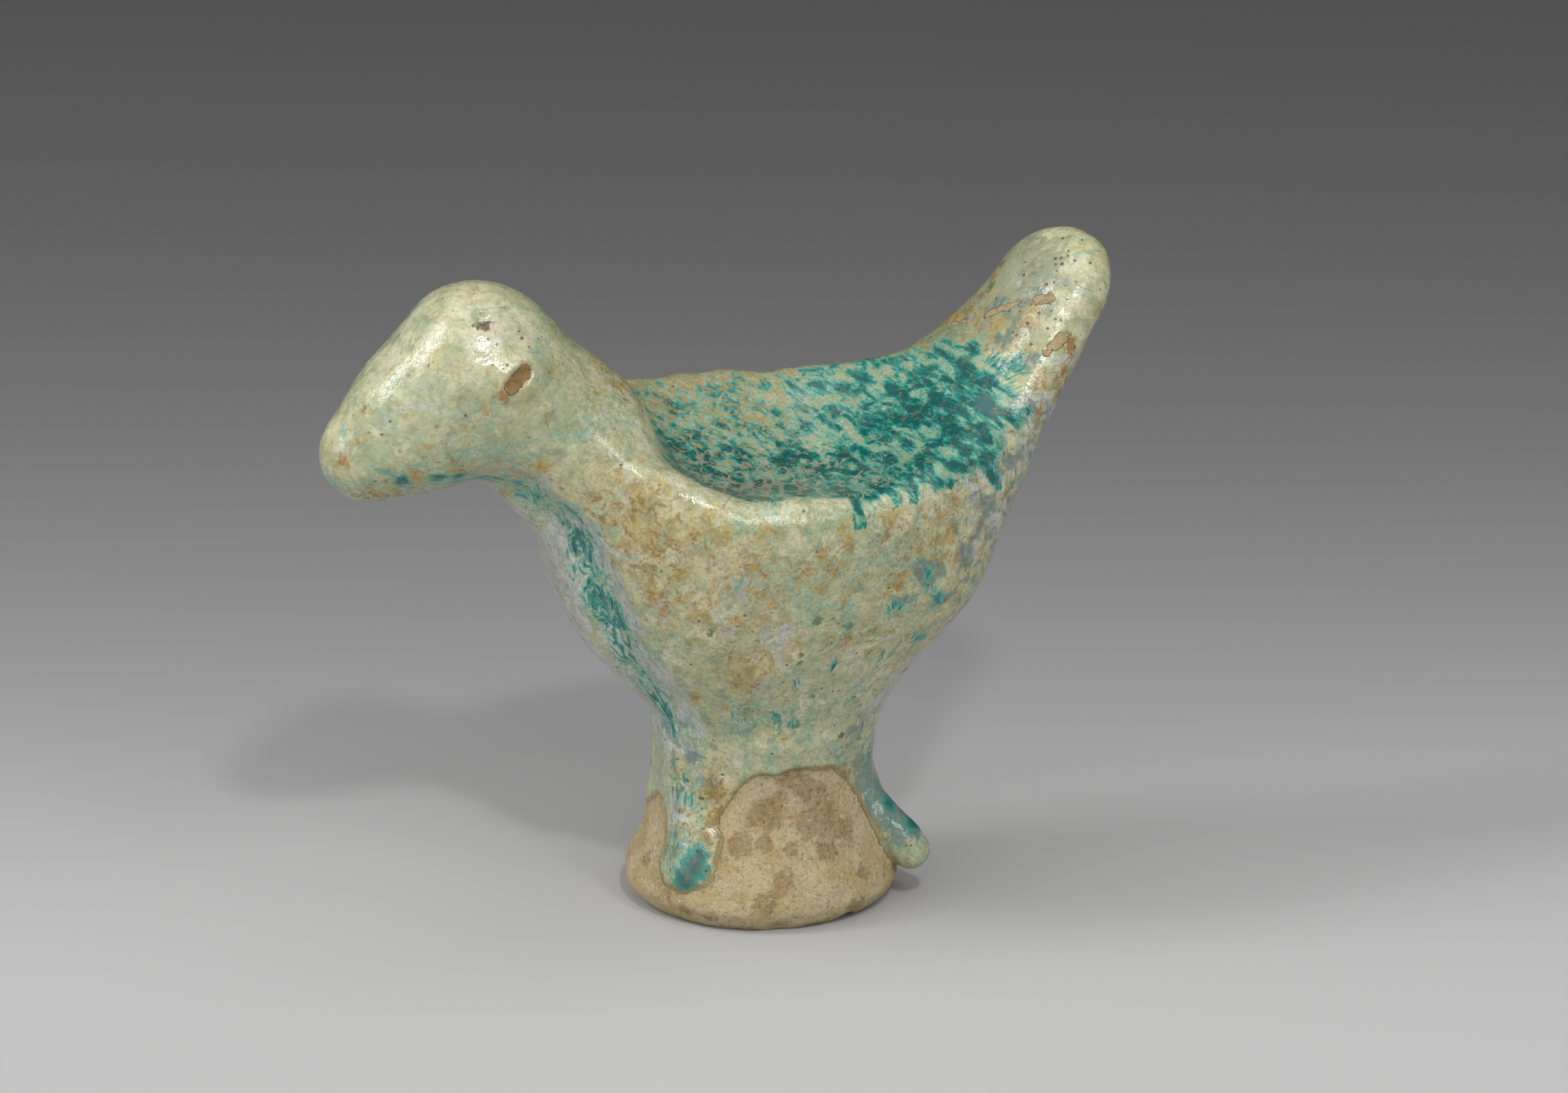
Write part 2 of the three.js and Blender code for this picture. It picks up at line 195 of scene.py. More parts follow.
def hump(value, middle, width):
    """1 at the middle, and less on both sides of it."""
    return np.exp(-(((value - middle) / width) ** 2))


def most(*shares):
    """The largest of some values at each point."""
    return functools.reduce(np.maximum, shares)


def turned(p, angle, centre=(0, 0, WAIST_Z)):
    """Points turned about the X axis through the waist, or directions turned about the origin."""
    cosine, sine = math.cos(angle), math.sin(angle)
    turn = np.array(((1, 0, 0), (0, cosine, -sine), (0, sine, cosine)))
    return (p - centre) @ turn.T + centre


def taper(p, a, b):
    """Distance to the cone that wraps two balls."""
    start, axis = np.array(a[0], float), np.subtract(b[0], a[0])
    length = np.linalg.norm(axis)
    offset = p - start
    along = offset @ (axis / length)
    out = np.sqrt(np.maximum((offset**2).sum(1) - along**2, 0))
    sine = (a[1] - b[1]) / length
    t = np.clip((along - out * sine / math.sqrt(1 - sine**2)) / length, 0, 1)
    return np.hypot(out, along - t * length) - (a[1] + t * (b[1] - a[1]))


def chain(p, balls, k):
    d = taper(p, balls[0], balls[1])
    for a, b in zip(balls[1:], balls[2:]):
        d = soft_min(d, taper(p, a, b), k)
    return d


def tail(p):
    """Distance to the flat paddle of the tail, which bends a little to the bird's right."""
    length = np.linalg.norm(TAIL_TIP - TAIL_ROOT)
    upwards = (TAIL_TIP - TAIL_ROOT) / length
    inwards = unit(np.cross(TAIL_LEFT_EDGE, upwards))
    leftwards = np.cross(upwards, inwards)
    offset = p - TAIL_ROOT
    along = offset @ upwards
    t = np.clip(along / length, 0, 1)
    width = TAIL_WIDTH[0] + t * (TAIL_WIDTH[1] - TAIL_WIDTH[0])
    thick = TAIL_THICK[0] + t * (TAIL_THICK[1] - TAIL_THICK[0])
    beyond = (along - t * length) / TAIL_END
    ratios = np.abs(np.stack([offset @ leftwards / width, offset @ inwards / thick, beyond]))
    r = (ratios**TAIL_SQUARE).sum(0) ** (1 / TAIL_SQUARE)
    return (r - 1) * np.minimum(width, thick)


def body_sides(p):
    front, back, width = breast(p[:, 2]), rump(p[:, 2]), half_width(p[:, 2])
    middle, half = (back - front) / 2, (back + front) / 2
    out = np.hypot((p[:, 0] - middle) / half, p[:, 1] / width)
    return (out - 1) * np.minimum(half, width) * BODY_SLOPE


def body_top(p):
    across = p[:, 1] / half_width(p[:, 2])
    return (p[:, 2] - back_line(p[:, 0]) - DISH_DEPTH * across**2 - RIM_TILT * across) * BODY_SLOPE


def foot(p):
    sway = hump(p[:, 2], FOOT_SWAY["z"], FOOT_SWAY["reach"])
    out = np.hypot(p[:, 0] - FOOT_SWAY["x"] * sway, p[:, 1] - FOOT_SWAY["y"] * sway)
    return (out - foot_radius(p[:, 2])) * FOOT_SLOPE


def mirrored(q):
    """Points of both sides laid on the left side."""
    return np.stack([q[:, 0], -np.abs(q[:, 1]), q[:, 2]], 1)


def clay(p):
    """Distance to the plain clay form."""
    q = turned(p, -LEAN)
    d = soft_max(body_sides(q), body_top(q), RIM_ROUND)
    d = soft_min(d, taper(q, NECK, HEAD), JOIN["neck"])
    d = soft_min(d, taper(q, HEAD, CHEEK), JOIN["cheek"])
    d = soft_min(d, taper(q, CHEEK, BEAK), JOIN["beak"])
    d = soft_min(d, tail(q), JOIN["tail"])
    d = soft_max(d, -chain(mirrored(q), GROOVE, JOIN["groove"]), GROOVE_ROUND)
    z = p[:, 2]
    lower = most(foot(p), z - WAIST_Z - 1, -4 - z)
    return soft_min(np.maximum(d, WAIST_Z - 6 - z), lower, JOIN["foot"])


def gradient(field, p, step=0.02):
    """The gradient of a field at each point."""
    slopes = [field(p + shift) - field(p - shift) for shift in np.eye(3) * step]
    return np.stack(slopes, 1) / (2 * step)


def settle(p, field, rounds):
    """Moves each point onto the surface along the field's gradient."""
    for _ in range(rounds):
        g = gradient(field, p)
        p = p - g * (field(p) / np.maximum((g**2).sum(1), 0.05))[:, None]
    return p


def unit(v):
    return v / np.linalg.norm(v, axis=-1, keepdims=True)


def around(field, angle, z):
    """The outermost point of the surface at each angle in degrees and height."""
    step = 0.2
    radii = np.arange(30, 1, -step)
    direction = np.stack([np.cos(np.radians(angle)), np.sin(np.radians(angle))], 1)
    flat = (direction[:, None] * radii[:, None]).reshape(-1, 2)
    rays = np.column_stack([flat, np.repeat(z, len(radii))])
    d = field(rays).reshape(len(z), -1)
    first = np.argmax(d < 0, axis=1)
    row = np.arange(len(z))
    outer, inner = d[row, first - 1], d[row, first]
    radius = radii[first - 1] - step * outer / (outer - inner)
    return np.column_stack([direction * radius[:, None], z])


def drip_balls(beads):
    """The beads of a drip as balls, each placed on the surface at its angle and height."""
    angle, z, stand_out, radius = np.array(beads, float).T
    surface = around(clay, angle, z)
    outward = unit(surface * (1, 1, 0))
    return list(zip(surface + outward * (stand_out - radius)[:, None], radius))


def mirrored_mark(mark):
    x, y, z = mark["near"]
    return {**mark, "near": (x, -y, z), "turn": -mark["turn"]}


def placed(mark):
    """A mark with its centre on the surface and its axes as rows."""
    start = turned(np.array([mark["near"]], float), LEAN)
    surface = settle(start, clay, 6)
    outward = unit(gradient(clay, surface))[0]
    rise = Vector((0, 0, 1)).rotation_difference(Vector(outward)).to_matrix()
    axes = np.array(rise @ Matrix.Rotation(mark["turn"], 3, "Z")).T
    return {**mark, "centre": surface[0] - outward * mark["sunk"], "axes": axes}


def in_mark(p, mark):
    """Signed distance to a mark's flattened ball."""
    local = (p - mark["centre"]) @ mark["axes"].T / mark["size"]
    return (np.linalg.norm(local, axis=1) - 1) * min(mark["size"])


drips = {name: drip_balls(beads) for name, beads in DRIPS.items()}
marks = [placed(m) for m in (PELLET, mirrored_mark(PELLET), HOLLOW, mirrored_mark(HOLLOW), CROWN)]
leg_end = drip_balls([(angle, z, radius, radius) for angle, z, radius in LEG_END])


def lattice(cells, seed):
    """A number from -1 to 1 for each whole-numbered cell, the same on every run."""
    h = (cells @ np.array([73856093, 19349663, 83492791]) + seed * 2654435761) & 0xFFFFFFFF
    h = ((h ^ (h >> 15)) * 2246822519) & 0xFFFFFFFF
    h = ((h ^ (h >> 13)) * 3266489917) & 0xFFFFFFFF
    return (h ^ (h >> 16)) / 0x7FFFFFFF - 1


def noise(p, size, seed):
    """Smooth noise from -1 to 1, with features of this size."""
    base = np.floor(p / size).astype(np.int64)
    t = p / size - base
    t = t**3 * (t * (6 * t - 15) + 10)
    total = np.zeros(len(p))
    for corner in itertools.product((0, 1), repeat=3):
        weight = np.prod(np.where(corner, t, 1 - t), axis=1)
        total += weight * lattice(base + corner, seed)
    return total


def glaze_reach(p):
    """How far inside the glaze's edge a point lies, in millimetres along the surface."""
    angle = np.degrees(np.arctan2(p[:, 1], p[:, 0]))
    reach = (p[:, 2] - glaze_edge(angle)) * FOOT_SLOPE + 0.35 * noise(p, 2.6, 21)
    for balls in drips.values():
        reach = soft_max(reach, 0.45 - chain(p, balls, BEAD_JOIN), 1.0)
    reach = soft_max(reach, 0.1 - chain(p, leg_end, 1), 0.5)
    return reach + 0.12 * noise(p, 0.9, 22)


def figurine(p):
    """Distance to the clay with its drips, eyes and pits."""
    d = clay(p)
    for name, balls in drips.items():
        d = soft_min(d, chain(p, balls, BEAD_JOIN), JOIN.get(name, JOIN["drip"]))
    for mark in marks:
        if mark["adds"]:
            d = soft_min(d, in_mark(p, mark), 0.5)
        else:
            d = soft_max(d, -in_mark(p, mark), 0.35)
    return d


def layered(p, layers):
    return sum(height * noise(p, size, seed) for height, size, seed in layers)


def relief(p):
    """How far the worked surface stands out from the plain form."""
    reach = glaze_reach(p)
    sheet = GLAZE_THICK * (smooth(reach, -0.1, 0.55) - GLAZE_SUNK) + GLAZE_ROLL * hump(reach, 0.6, 0.45)
    rough = smooth(reach, 0.2, -0.4) * layered(p, GRAIN)
    low = smooth(p[:, 2], CHIPPED_BELOW, 0.4)
    chips = CHIP_DEPTH * low * smooth(noise(p, CHIP_SIZE, 6), 0.22, 0.6)
    return layered(p, LUMPS) + sheet + rough - chips


def plain(p):
    """Distance to the form, cut flat below."""
    return np.maximum(figurine(p), -p[:, 2])


def worked(p):
    """Distance to the finished surface, cut flat below."""
    return np.maximum(figurine(p) - relief(p), -p[:, 2])


# Tracing the surface as a mesh


def trace(field, low, high, cell):
    """A vertex in each grid cell that the surface crosses, and a face across each crossed edge."""
    blocks = np.ceil((high - low) / cell / BLOCK).astype(int) + 1
    centres = low + cell * (BLOCK * np.argwhere(np.ones(blocks)) + (BLOCK - 1) / 2)
    coarse = field(centres).reshape(blocks)
    values = np.kron(coarse, np.ones((BLOCK,) * 3))
    near = np.argwhere(np.abs(values) < BLOCK * cell * 1.3)
    values[tuple(near.T)] = field(low + cell * near)
    inside = values < 0

    corners = np.array(list(itertools.product((0, 1), repeat=3)))
    cells = [slice(0, -1), slice(1, None)]
    count = sum(inside[cells[a], cells[b], cells[c]].astype(np.int8) for a, b, c in corners)
    active = np.argwhere((count > 0) & (count < 8))
    number = np.full(count.shape, -1)
    number[tuple(active.T)] = np.arange(len(active))
    total, crossings = np.zeros((len(active), 3)), np.zeros(len(active))
    for a, b in itertools.combinations(corners, 2):
        if np.abs(a - b).sum() != 1:
            continue
        at_a, at_b = values[tuple((active + a).T)], values[tuple((active + b).T)]
        crossed = (at_a < 0) != (at_b < 0)
        t = np.where(crossed, at_a / np.where(crossed, at_a - at_b, 1), 0)
        total += crossed[:, None] * (a + t[:, None] * (b - a))
        crossings += crossed
    points = low + cell * (active + total / crossings[:, None])

    faces = []
    for axis in range(3):
        u, w = np.roll(np.eye(3, dtype=int), -axis, 0)[1:]
        changes = np.diff(inside, axis=axis)
        at = np.argwhere(changes)
        ring = np.stack([number[tuple((at - s).T)] for s in (u + w, w, 0 * u, u)], 1)
        outward = inside[tuple(at.T)]
        faces.append(np.where(outward[:, None], ring, ring[:, ::-1]))
    return points, np.concatenate(faces)


def relax(points, faces):
    """Moves each vertex to the middle of its neighbours."""
    start, end = faces.ravel(), np.roll(faces, -1, 1).ravel()
    count = np.bincount(start, minlength=len(points))
    sums = [np.bincount(start, points[end, n], minlength=len(points)) for n in range(3)]
    return np.stack(sums, 1) / count[:, None]


def surface_mesh():
    points, faces = trace(plain, *SPACE, CELL)
    for _ in range(2):
        points = settle(relax(points, faces), plain, 1)
    points = settle(points, worked, 3)
    points[:, 2] = np.maximum(points[:, 2], 0)
    return points, faces


# Where the colours lie

# Places on the left side, in the bird's own frame: x, y, z, radius.
BUFF_PLACES = [
    (-17, -15, 51, 5), (-12, -17.5, 49, 4.5), (-20, -13, 54, 3.5), (-14, -16, 44.5, 3), (-26, -9, 57, 3),
]
GREEN_PLACES = [
    (-18, -11.5, 38, 3.5), (-15, -10.5, 33, 3.5), (-7, -18.5, 51, 2.5), (1, -16, 34.5, 4), (2.5, -13, 28, 4),
    (0.5, -17.5, 53, 3.5), (-4.5, -18.5, 45, 2), (-29, -9, 61, 3), (-37, -8.5, 63, 6), (-44, -6, 60, 5),
]
GREY_PLACES = [
    (-5.5, -17, 38.5, 3), (-11.5, -16.5, 41.5, 2.5), (-3, -15, 32, 2.5), (-10.5, -18, 47.5, 1.5),
]
OCHRE = [
    # beak and cheek
    (-49.5, -3, 58.5, 1.2), (-48, -4, 61, 1.1), (-47.5, -3, 64, 0.8), (-42, -8, 61, 0.8),
    (-39.5, -8, 60.5, 0.8), (-39.5, -7.5, 58.5, 0.9), (-45, -5, 55.5, 1.6), (-46, -4, 54.5, 1),
    (-43, -6.5, 57, 0.9), (-36, -9.5, 65, 0.6), (-33, -9.5, 64.5, 0.6),
    # behind the eye and down the neck
    (-28.5, -7.5, 68, 0.7), (-29, -9, 63.5, 1), (-29.5, -8.5, 58, 1.4), (-27.5, -9, 54.5, 0.8),
    (-20.5, -3, 65, 0.9), (-19, -3.5, 63.5, 1.3), (-23.5, -11, 54, 1.1), (-20, -13, 54, 1.6),
    (-23, -11.5, 52.5, 1.3), (-25, -10.5, 52.5, 1.1), (-21, -12.5, 49, 0.9), (-18.5, -14.5, 49.5, 2.2),
    (-17.3, -14.3, 43.4, 1.4),
    # flank
    (-13.5, -17, 52, 1), (-11.6, -17.2, 45.3, 1.2), (-9.2, -18.2, 48.8, 1.8), (-7.8, -18, 44.4, 1.6),
    (-6.6, -17.8, 41.8, 1.8), (-9.6, -16.9, 40.6, 1.2), (-3.7, -18.9, 47.8, 1.8), (-1.4, -19, 49.4, 1.6),
    (2, -18.9, 50.2, 1.7), (6.5, -18, 50.2, 1.8), (10.7, -16.5, 47, 2), (0.5, -18.9, 47.3, 1.4),
    (-1, -18.6, 44.8, 1.2), (2.7, -16.8, 37.3, 1.6), (8.7, -16.7, 43.2, 2), (6.3, -16, 37.5, 1.8),
    (-7.7, -14.3, 32, 1.8), (-6, -12.5, 27.5, 1.2), (2.5, -18, 44, 1.2), (-12, -10.5, 29, 1.1),
    # tail
    (21.6, 8.7, 59.8, 1.8), (23.5, 6.9, 61.4, 2), (22.3, 3.7, 60.5, 1.2), (30, 10.1, 67.9, 0.9),
    (28.9, 9.4, 66.7, 1.1), (27.6, 8, 65.5, 1), (29.9, -0.1, 66.5, 0.8), (29.2, -0.3, 65.7, 0.9),
    (28.3, 0.3, 65.2, 0.6), (37.1, -1.1, 66.5, 1.3), (31.5, -4.5, 61.1, 0.7), (28.2, -7, 57.3, 1),
]
TURQUOISE = [
    (-49.5, -2, 61, 0.7), (-47.5, -5, 57, 0.9), (-45, -6, 57.5, 1.1), (-43, -7, 58.5, 1.1),
    (-39.5, -8.5, 63, 0.8), (-38.5, -8.5, 64, 0.9), (-37, -9, 66, 0.9), (-30, -7, 70.5, 0.7),
    (-29, -8.5, 65.5, 0.6), (-27, -6.5, 68, 0.6), (-27.5, -9.5, 61.5, 1), (-25.5, -9.5, 61.5, 0.9),
    (-24.5, -8.5, 63, 0.7), (-20, -10, 59.5, 0.8), (-16.5, -11, 35.5, 1.6), (-7, -12, 27, 1.8),
    (-3, -12, 24, 1.6), (-8, -9, 19.5, 1.4), (-11, -7, 21.5, 1.4), (-5, -18, 46, 1.2), (9, -16, 40, 1.8),
    (12.5, -13.5, 36, 1.4), (14.5, -15, 40.5, 1.8), (13, -15.5, 43.5, 1.8), (2, -16, 42, 1.2),
    (10.5, -16, 45, 1.6), (6, -13, 30, 1.4),
]
TEAL = [
    # throat and jaw
    (-44, -6, 56.5, 0.8), (-40.5, -6.5, 57, 1.3), (-38, -6.5, 56.5, 1.1), (-35, -5, 55.5, 1),
    (-31, -5, 54.5, 0.8), (-29, -5.5, 53, 0.9), (-26.5, -8, 52, 0.7), (-24, -10.5, 49.5, 0.6),
    # the darkest of the back
    (-8.5, -13.5, 54, 1.4), (-8.5, -6, 52, 1.3), (-3.5, -5.5, 52, 1.3), (3.5, -6.5, 52, 1.2),
    (8, -7, 52, 1.9), (12.5, -5, 54, 1.5), (15, -9, 55, 1.4), (18, -8, 57.5, 2.2), (22.1, -0.7, 59.5, 2.2),
    (23.2, -4.8, 59.1, 2.4), (25, -1.7, 61.2, 1.4), (26.5, -3.3, 61.6, 1.2), (23.3, 1.5, 60.8, 1.3),
    (26.8, -7.4, 57.8, 0.5), (24, -7, 57.5, 1.6), (2.5, -15, 54, 1.2), (7.5, -14.5, 54, 1.3),
    (-3, 11, 54, 0.9), (-6.5, 12, 54.5, 1),
]
TEAL_FLANK = [
    (-7, -12, 27.5, 1.6), (-3.5, -12.8, 27, 1.6), (-1, -12.7, 26, 0.9), (8.7, -16, 40.3, 1.5),
    (11.6, -13.7, 35.7, 1.4), (13.8, -15, 41, 1.5), (12, -16, 44.5, 1), (8, -14.5, 34, 1),
    (1.9, -15.7, 33.9, 0.9), (-16.5, -11, 35.5, 1.1), (-2, -15, 32, 0.8),
]
GREEN = [
    (3, -17, 39.3, 0.6), (-12.5, -16, 39.5, 0.4), (0.5, -14, 29.5, 0.4), (-2, -16.5, 36, 0.45),
    (-2, -16, 35, 0.35), (-0.5, -12.5, 25.5, 0.45), (-1, -18, 40.5, 0.6), (23.5, 7.5, 61.3, 1.3),
    (21.6, 9.2, 60, 1), (30, 10.1, 67.9, 0.5), (28.1, 8.4, 66, 0.7), (30.2, 2.3, 67.8, 0.5),
]
BLUE = [
    (26.4, -0.2, 63.3, 1.5), (28.1, -4, 62.1, 1.1), (31, 1.2, 68.2, 0.7), (29.2, 1.5, 66.5, 0.8),
    (27.5, 4.5, 65.5, 0.9), (9, -16.5, 41, 0.9), (14, -15, 41, 1.2), (12, -15.5, 44.5, 1.8),
    (20, -12.5, 49, 2.6), (23, -10.5, 54, 2.6), (26, -7.5, 59, 1.4), (7, -10.5, 22.5, 1.5),
    (17, -13.5, 45, 1.8), (-10.5, -7, 20, 1.3), (-12.5, -5, 23, 1.6),
]
CREAM_AND_HIGHLIGHT = [
    (-14.5, -16.5, 49.5, 3), (-11, -18, 49.5, 2.5), (-16, -12.5, 36, 1.6), (-3.5, -16.5, 37, 1.8),
    (5, -15.5, 35, 2.6), (-4, -11.5, 22.5, 1.3), (1, -13.5, 28.5, 2.6), (8, -13.5, 31, 2.6),
    # Down the tail's near edge: cream that is partly painted highlight, over some real pale glaze.
    (35.5, -0.5, 70.4, 2.6), (34.4, -2.2, 67.6, 2), (33.5, -3.2, 65, 1.6), (30.5, -5, 61.2, 1.5),
    (28.3, -6.4, 59.8, 1.3),
]
DARK = [(-35.4, -4.8, 74, 1), (12.7, -9.5, 29.5, 0.5), (5.1, -11.3, 23, 0.5)]
BROWN = [
    (-35.4, -5.7, 73.3, 0.6), (32.4, -3.7, 63.3, 0.9), (32.5, -3.4, 64.1, 0.6), (31.5, -4.5, 61.1, 0.6),
    (32.3, -4, 59.6, 0.65), (31.4, -4.5, 57.7, 0.5), (28.2, -7, 57.3, 0.6), (29.3, -0.6, 64.8, 0.35),
    (-34.3, -9.2, 67, 0.6),
]
# Lines on the left side: start, end, radius.
TEAL_RUNS = [
    ((3, -15.5, 54), (3.1, -17.3, 53.3), 0.55), ((3.1, -17.3, 53.3), (3.2, -18.5, 51.8), 0.5),
    ((7.6, -14.5, 54), (7.8, -16.6, 53.2), 0.55), ((9.8, -14.5, 54), (10.2, -16.3, 53.1), 0.5),
    ((14, -12.5, 55), (14.8, -14.6, 53.6), 0.5), ((20, -13, 54.5), (22.3, -12.6, 51.5), 0.6),
]
EYE_CLAY = [
    ((-33.7, -9.2, 67.5), (-32.9, -8.9, 68), 0.8), ((-32.5, -8.7, 68.4), (-31.8, -8.3, 69), 0.85),
]
SCRAPES = [
    ((26.3, 5, 64.1), (28.9, 2.3, 66.4), 0.42), ((30.4, 0.7, 67.1), (31.3, -0.3, 67.9), 0.6),
    ((29.7, -3.9, 63), (30.8, -3.6, 63.8), 0.4), ((30.8, -3.6, 63.8), (32.1, -3.3, 64.6), 0.62),
    ((24, 8.6, 61.6), (24.9, 7.2, 62.6), 0.25),
]
# The teal line in the groove beside the breast, from the throat down.
GROOVE_RUN = [
    (-40.5, -6.5, 57, 0.5), (-35, -4.5, 55.3, 0.5), (-31, -5, 54.5, 0.6), (-29, -5.5, 53, 1.2),
    (-26.5, -7.5, 51.5, 1.4), (-25, -7, 49.5, 1.7), (-24, -7, 47, 1.7), (-23, -7.5, 43.5, 1.7),
    (-21.5, -8, 40, 1.5), (-20, -8, 37.5, 1.2), (-18, -7, 32.5, 1), (-16.5, -6.5, 30, 0.9),
    (-15, -6, 27.5, 0.8), (-12.5, -5.5, 23.5, 0.6),
]
# Places round the foot: angle in degrees, height, radius.
STAINS = [
    (-93, 16.9, 1.5), (-98, 14.9, 0.9), (-104, 13.1, 2), (-119.5, 9.8, 1.5), (-108, 9.9, 1), (-94.5, 9.2, 1),
    (-79, 11.7, 2.4), (-75, 13.5, 2.2), (-62.5, 10.1, 1.5), (-76, 8.6, 1.3), (-99.5, 6.2, 1.3),
    (-102, 5.2, 0.9), (-107.5, 4, 1.25), (-84, 15.6, 1.4), (-143, 2.1, 0.9), (-131, 1.9, 0.9),
    (-60, 5.6, 0.9), (-66, 2.2, 1.2), (-110, 12.8, 1.4), (-153, 3.4, 0.8), (30, 6.5, 1.4), (48, 4, 1.8),
    (85, 8, 2.2), (100, 4.5, 1.3), (128, 9.5, 1.8), (150, 5, 1.1), (-5, 8, 2), (12, 10.5, 1.3), (72, 10, 1),
    (-172, 6, 0.9),
]
PALE_CLAY = [
    (-94, 14.8, 0.9), (-90, 14.2, 0.7), (-99, 10.6, 1.3), (-114, 6.3, 2), (-90, 5.5, 2.2), (-85, 13.2, 0.7),
    (-60, 8, 1.6), (-125, 12, 1.2), (60, 5, 2), (115, 7, 2),
]
OCHRE_FOOT = [
    (-131, 12.5, 1.8), (-135, 15.5, 1.6), (-157, 8, 1.2), (-156, 5, 1.1), (-136, 10.5, 1.3),
    (-60, 15.8, 1.7), (-49, 12.5, 1.2), (-122, 15.5, 1.2), (-149, 8.5, 1), (-148, 4.5, 1.1),
]
POOLS = [
    (-138.5, 7.6, 1.8), (-141.5, 6, 1.7), (-136.5, 8.8, 1.1), (57, 9.2, 1), (-36, 11.5, 0.9),
    (-33.5, 9.2, 1.1),
]
BLUE_DRIP = [(-40, 15.5, 2.6), (-37, 12.5, 3.2), (-34, 9.8, 3)]
BLUE_LEG = [(-152, 18, 3.2), (-150, 12, 2.6)]
TEAL_LEG = [(-147, 9, 2), (-152, 15, 2)]
FILM_FOOT = [(-152, 16, 3.2), (-150, 12.5, 2.6), (-40, 14, 1.6)]
WASH_FOOT = [(-38, 14, 3), (-34, 10, 3), (-148, 9, 3)]
# Where pinholes gather: on the tail and the head, and down the leg.
DOTTED = [
    (33.2, 2.2, 70.7, 3), (31.4, 1.9, 68.9, 3), (31, -1, 67.5, 1.6), (28.3, -1.4, 64.3, 1.4),
    (-48.5, -4, 58, 2), (-33, -7, 71, 3),
]
DOTTED_LEG = [(-150.5, 17.5, 1.2), (-152, 15.5, 1.3), (-151, 13.5, 1.1), (-143, 13, 1.2), (-148, 11, 1.4)]

# The dished back's rounded outline, seen from above.
DISH_MIDDLE = 4
DISH_REACH = 21.5  # to the front and to the rear
DISH_HALF_WIDTH = {"right": 17.5, "left": 16.5}
DISH_SQUARE = 3  # how square it is: 2 is an ellipse

# The dashes on the back look even from the front left: directions to its right, away from it, and up.
DASH_FRAME = ((0.94, -0.342, 0), (0.326, 0.896, -0.301), (0.103, 0.283, 0.954))
DASH_SLANT = (0.87, 0.5)  # cosine and sine of the way that they slope down to the right
DASH_SCALE = (0.5, 1.0, 0.2)  # along a dash, across it and away: a low scale draws it out
# Runs on the sides are drawn out downwards: a round cylinder's radius, and the scale of the height.
FLOW_RADIUS = 18
FLOW_SCALE = 0.55


def segment_distance(p, start, end):
    axis = end - start
    t = np.clip((p - start) @ axis / max(axis @ axis, 1e-9), 0, 1)
    return np.linalg.norm(p - start - t[:, None] * axis, axis=1)


def on_bird(places):
    """Places of the bird's own frame, moved onto the finished surface."""
    table = np.array(places, float)
    return settle(turned(table[:, :3], LEAN), worked, 4), table[:, 3]


def on_foot(places):
    angle, z, radius = np.array(places, float).T
    return around(worked, angle, z), radius


def cover(p, places, spread=1.0):
    """How strongly round places cover each point, from 0 to 1."""
    total = np.zeros(len(p))
    for centre, radius in zip(places[0], places[1] * spread):
        close = np.flatnonzero(np.abs(p[:, 2] - centre[2]) < 2.5 * radius)
        away = ((p[close] - centre) ** 2).sum(1) / radius**2
        total[close] = np.maximum(total[close], np.exp(-0.8 * away))
    return total


def within(p, lines):
    """How far inside the nearest line each point lies, in millimetres."""
    ends = np.array([end for line in lines for end in line[:2]], float)
    ends = settle(turned(ends, LEAN), worked, 4).reshape(-1, 2, 3)
    depth = np.full(len(p), -5.0)
    for (start, end), line in zip(ends, lines):
        depth = np.maximum(depth, line[2] - segment_distance(p, start, end))
    return depth


def along(p, path):
    """How far inside a run of joined places each point lies, in millimetres."""
    centres, radii = on_bird(path)
    depth = np.full(len(p), -5.0)
    for start, end, radius, last in zip(centres, centres[1:], radii, radii[1:]):
        depth = np.maximum(depth, (radius + last) / 2 - segment_distance(p, start, end))
    return depth


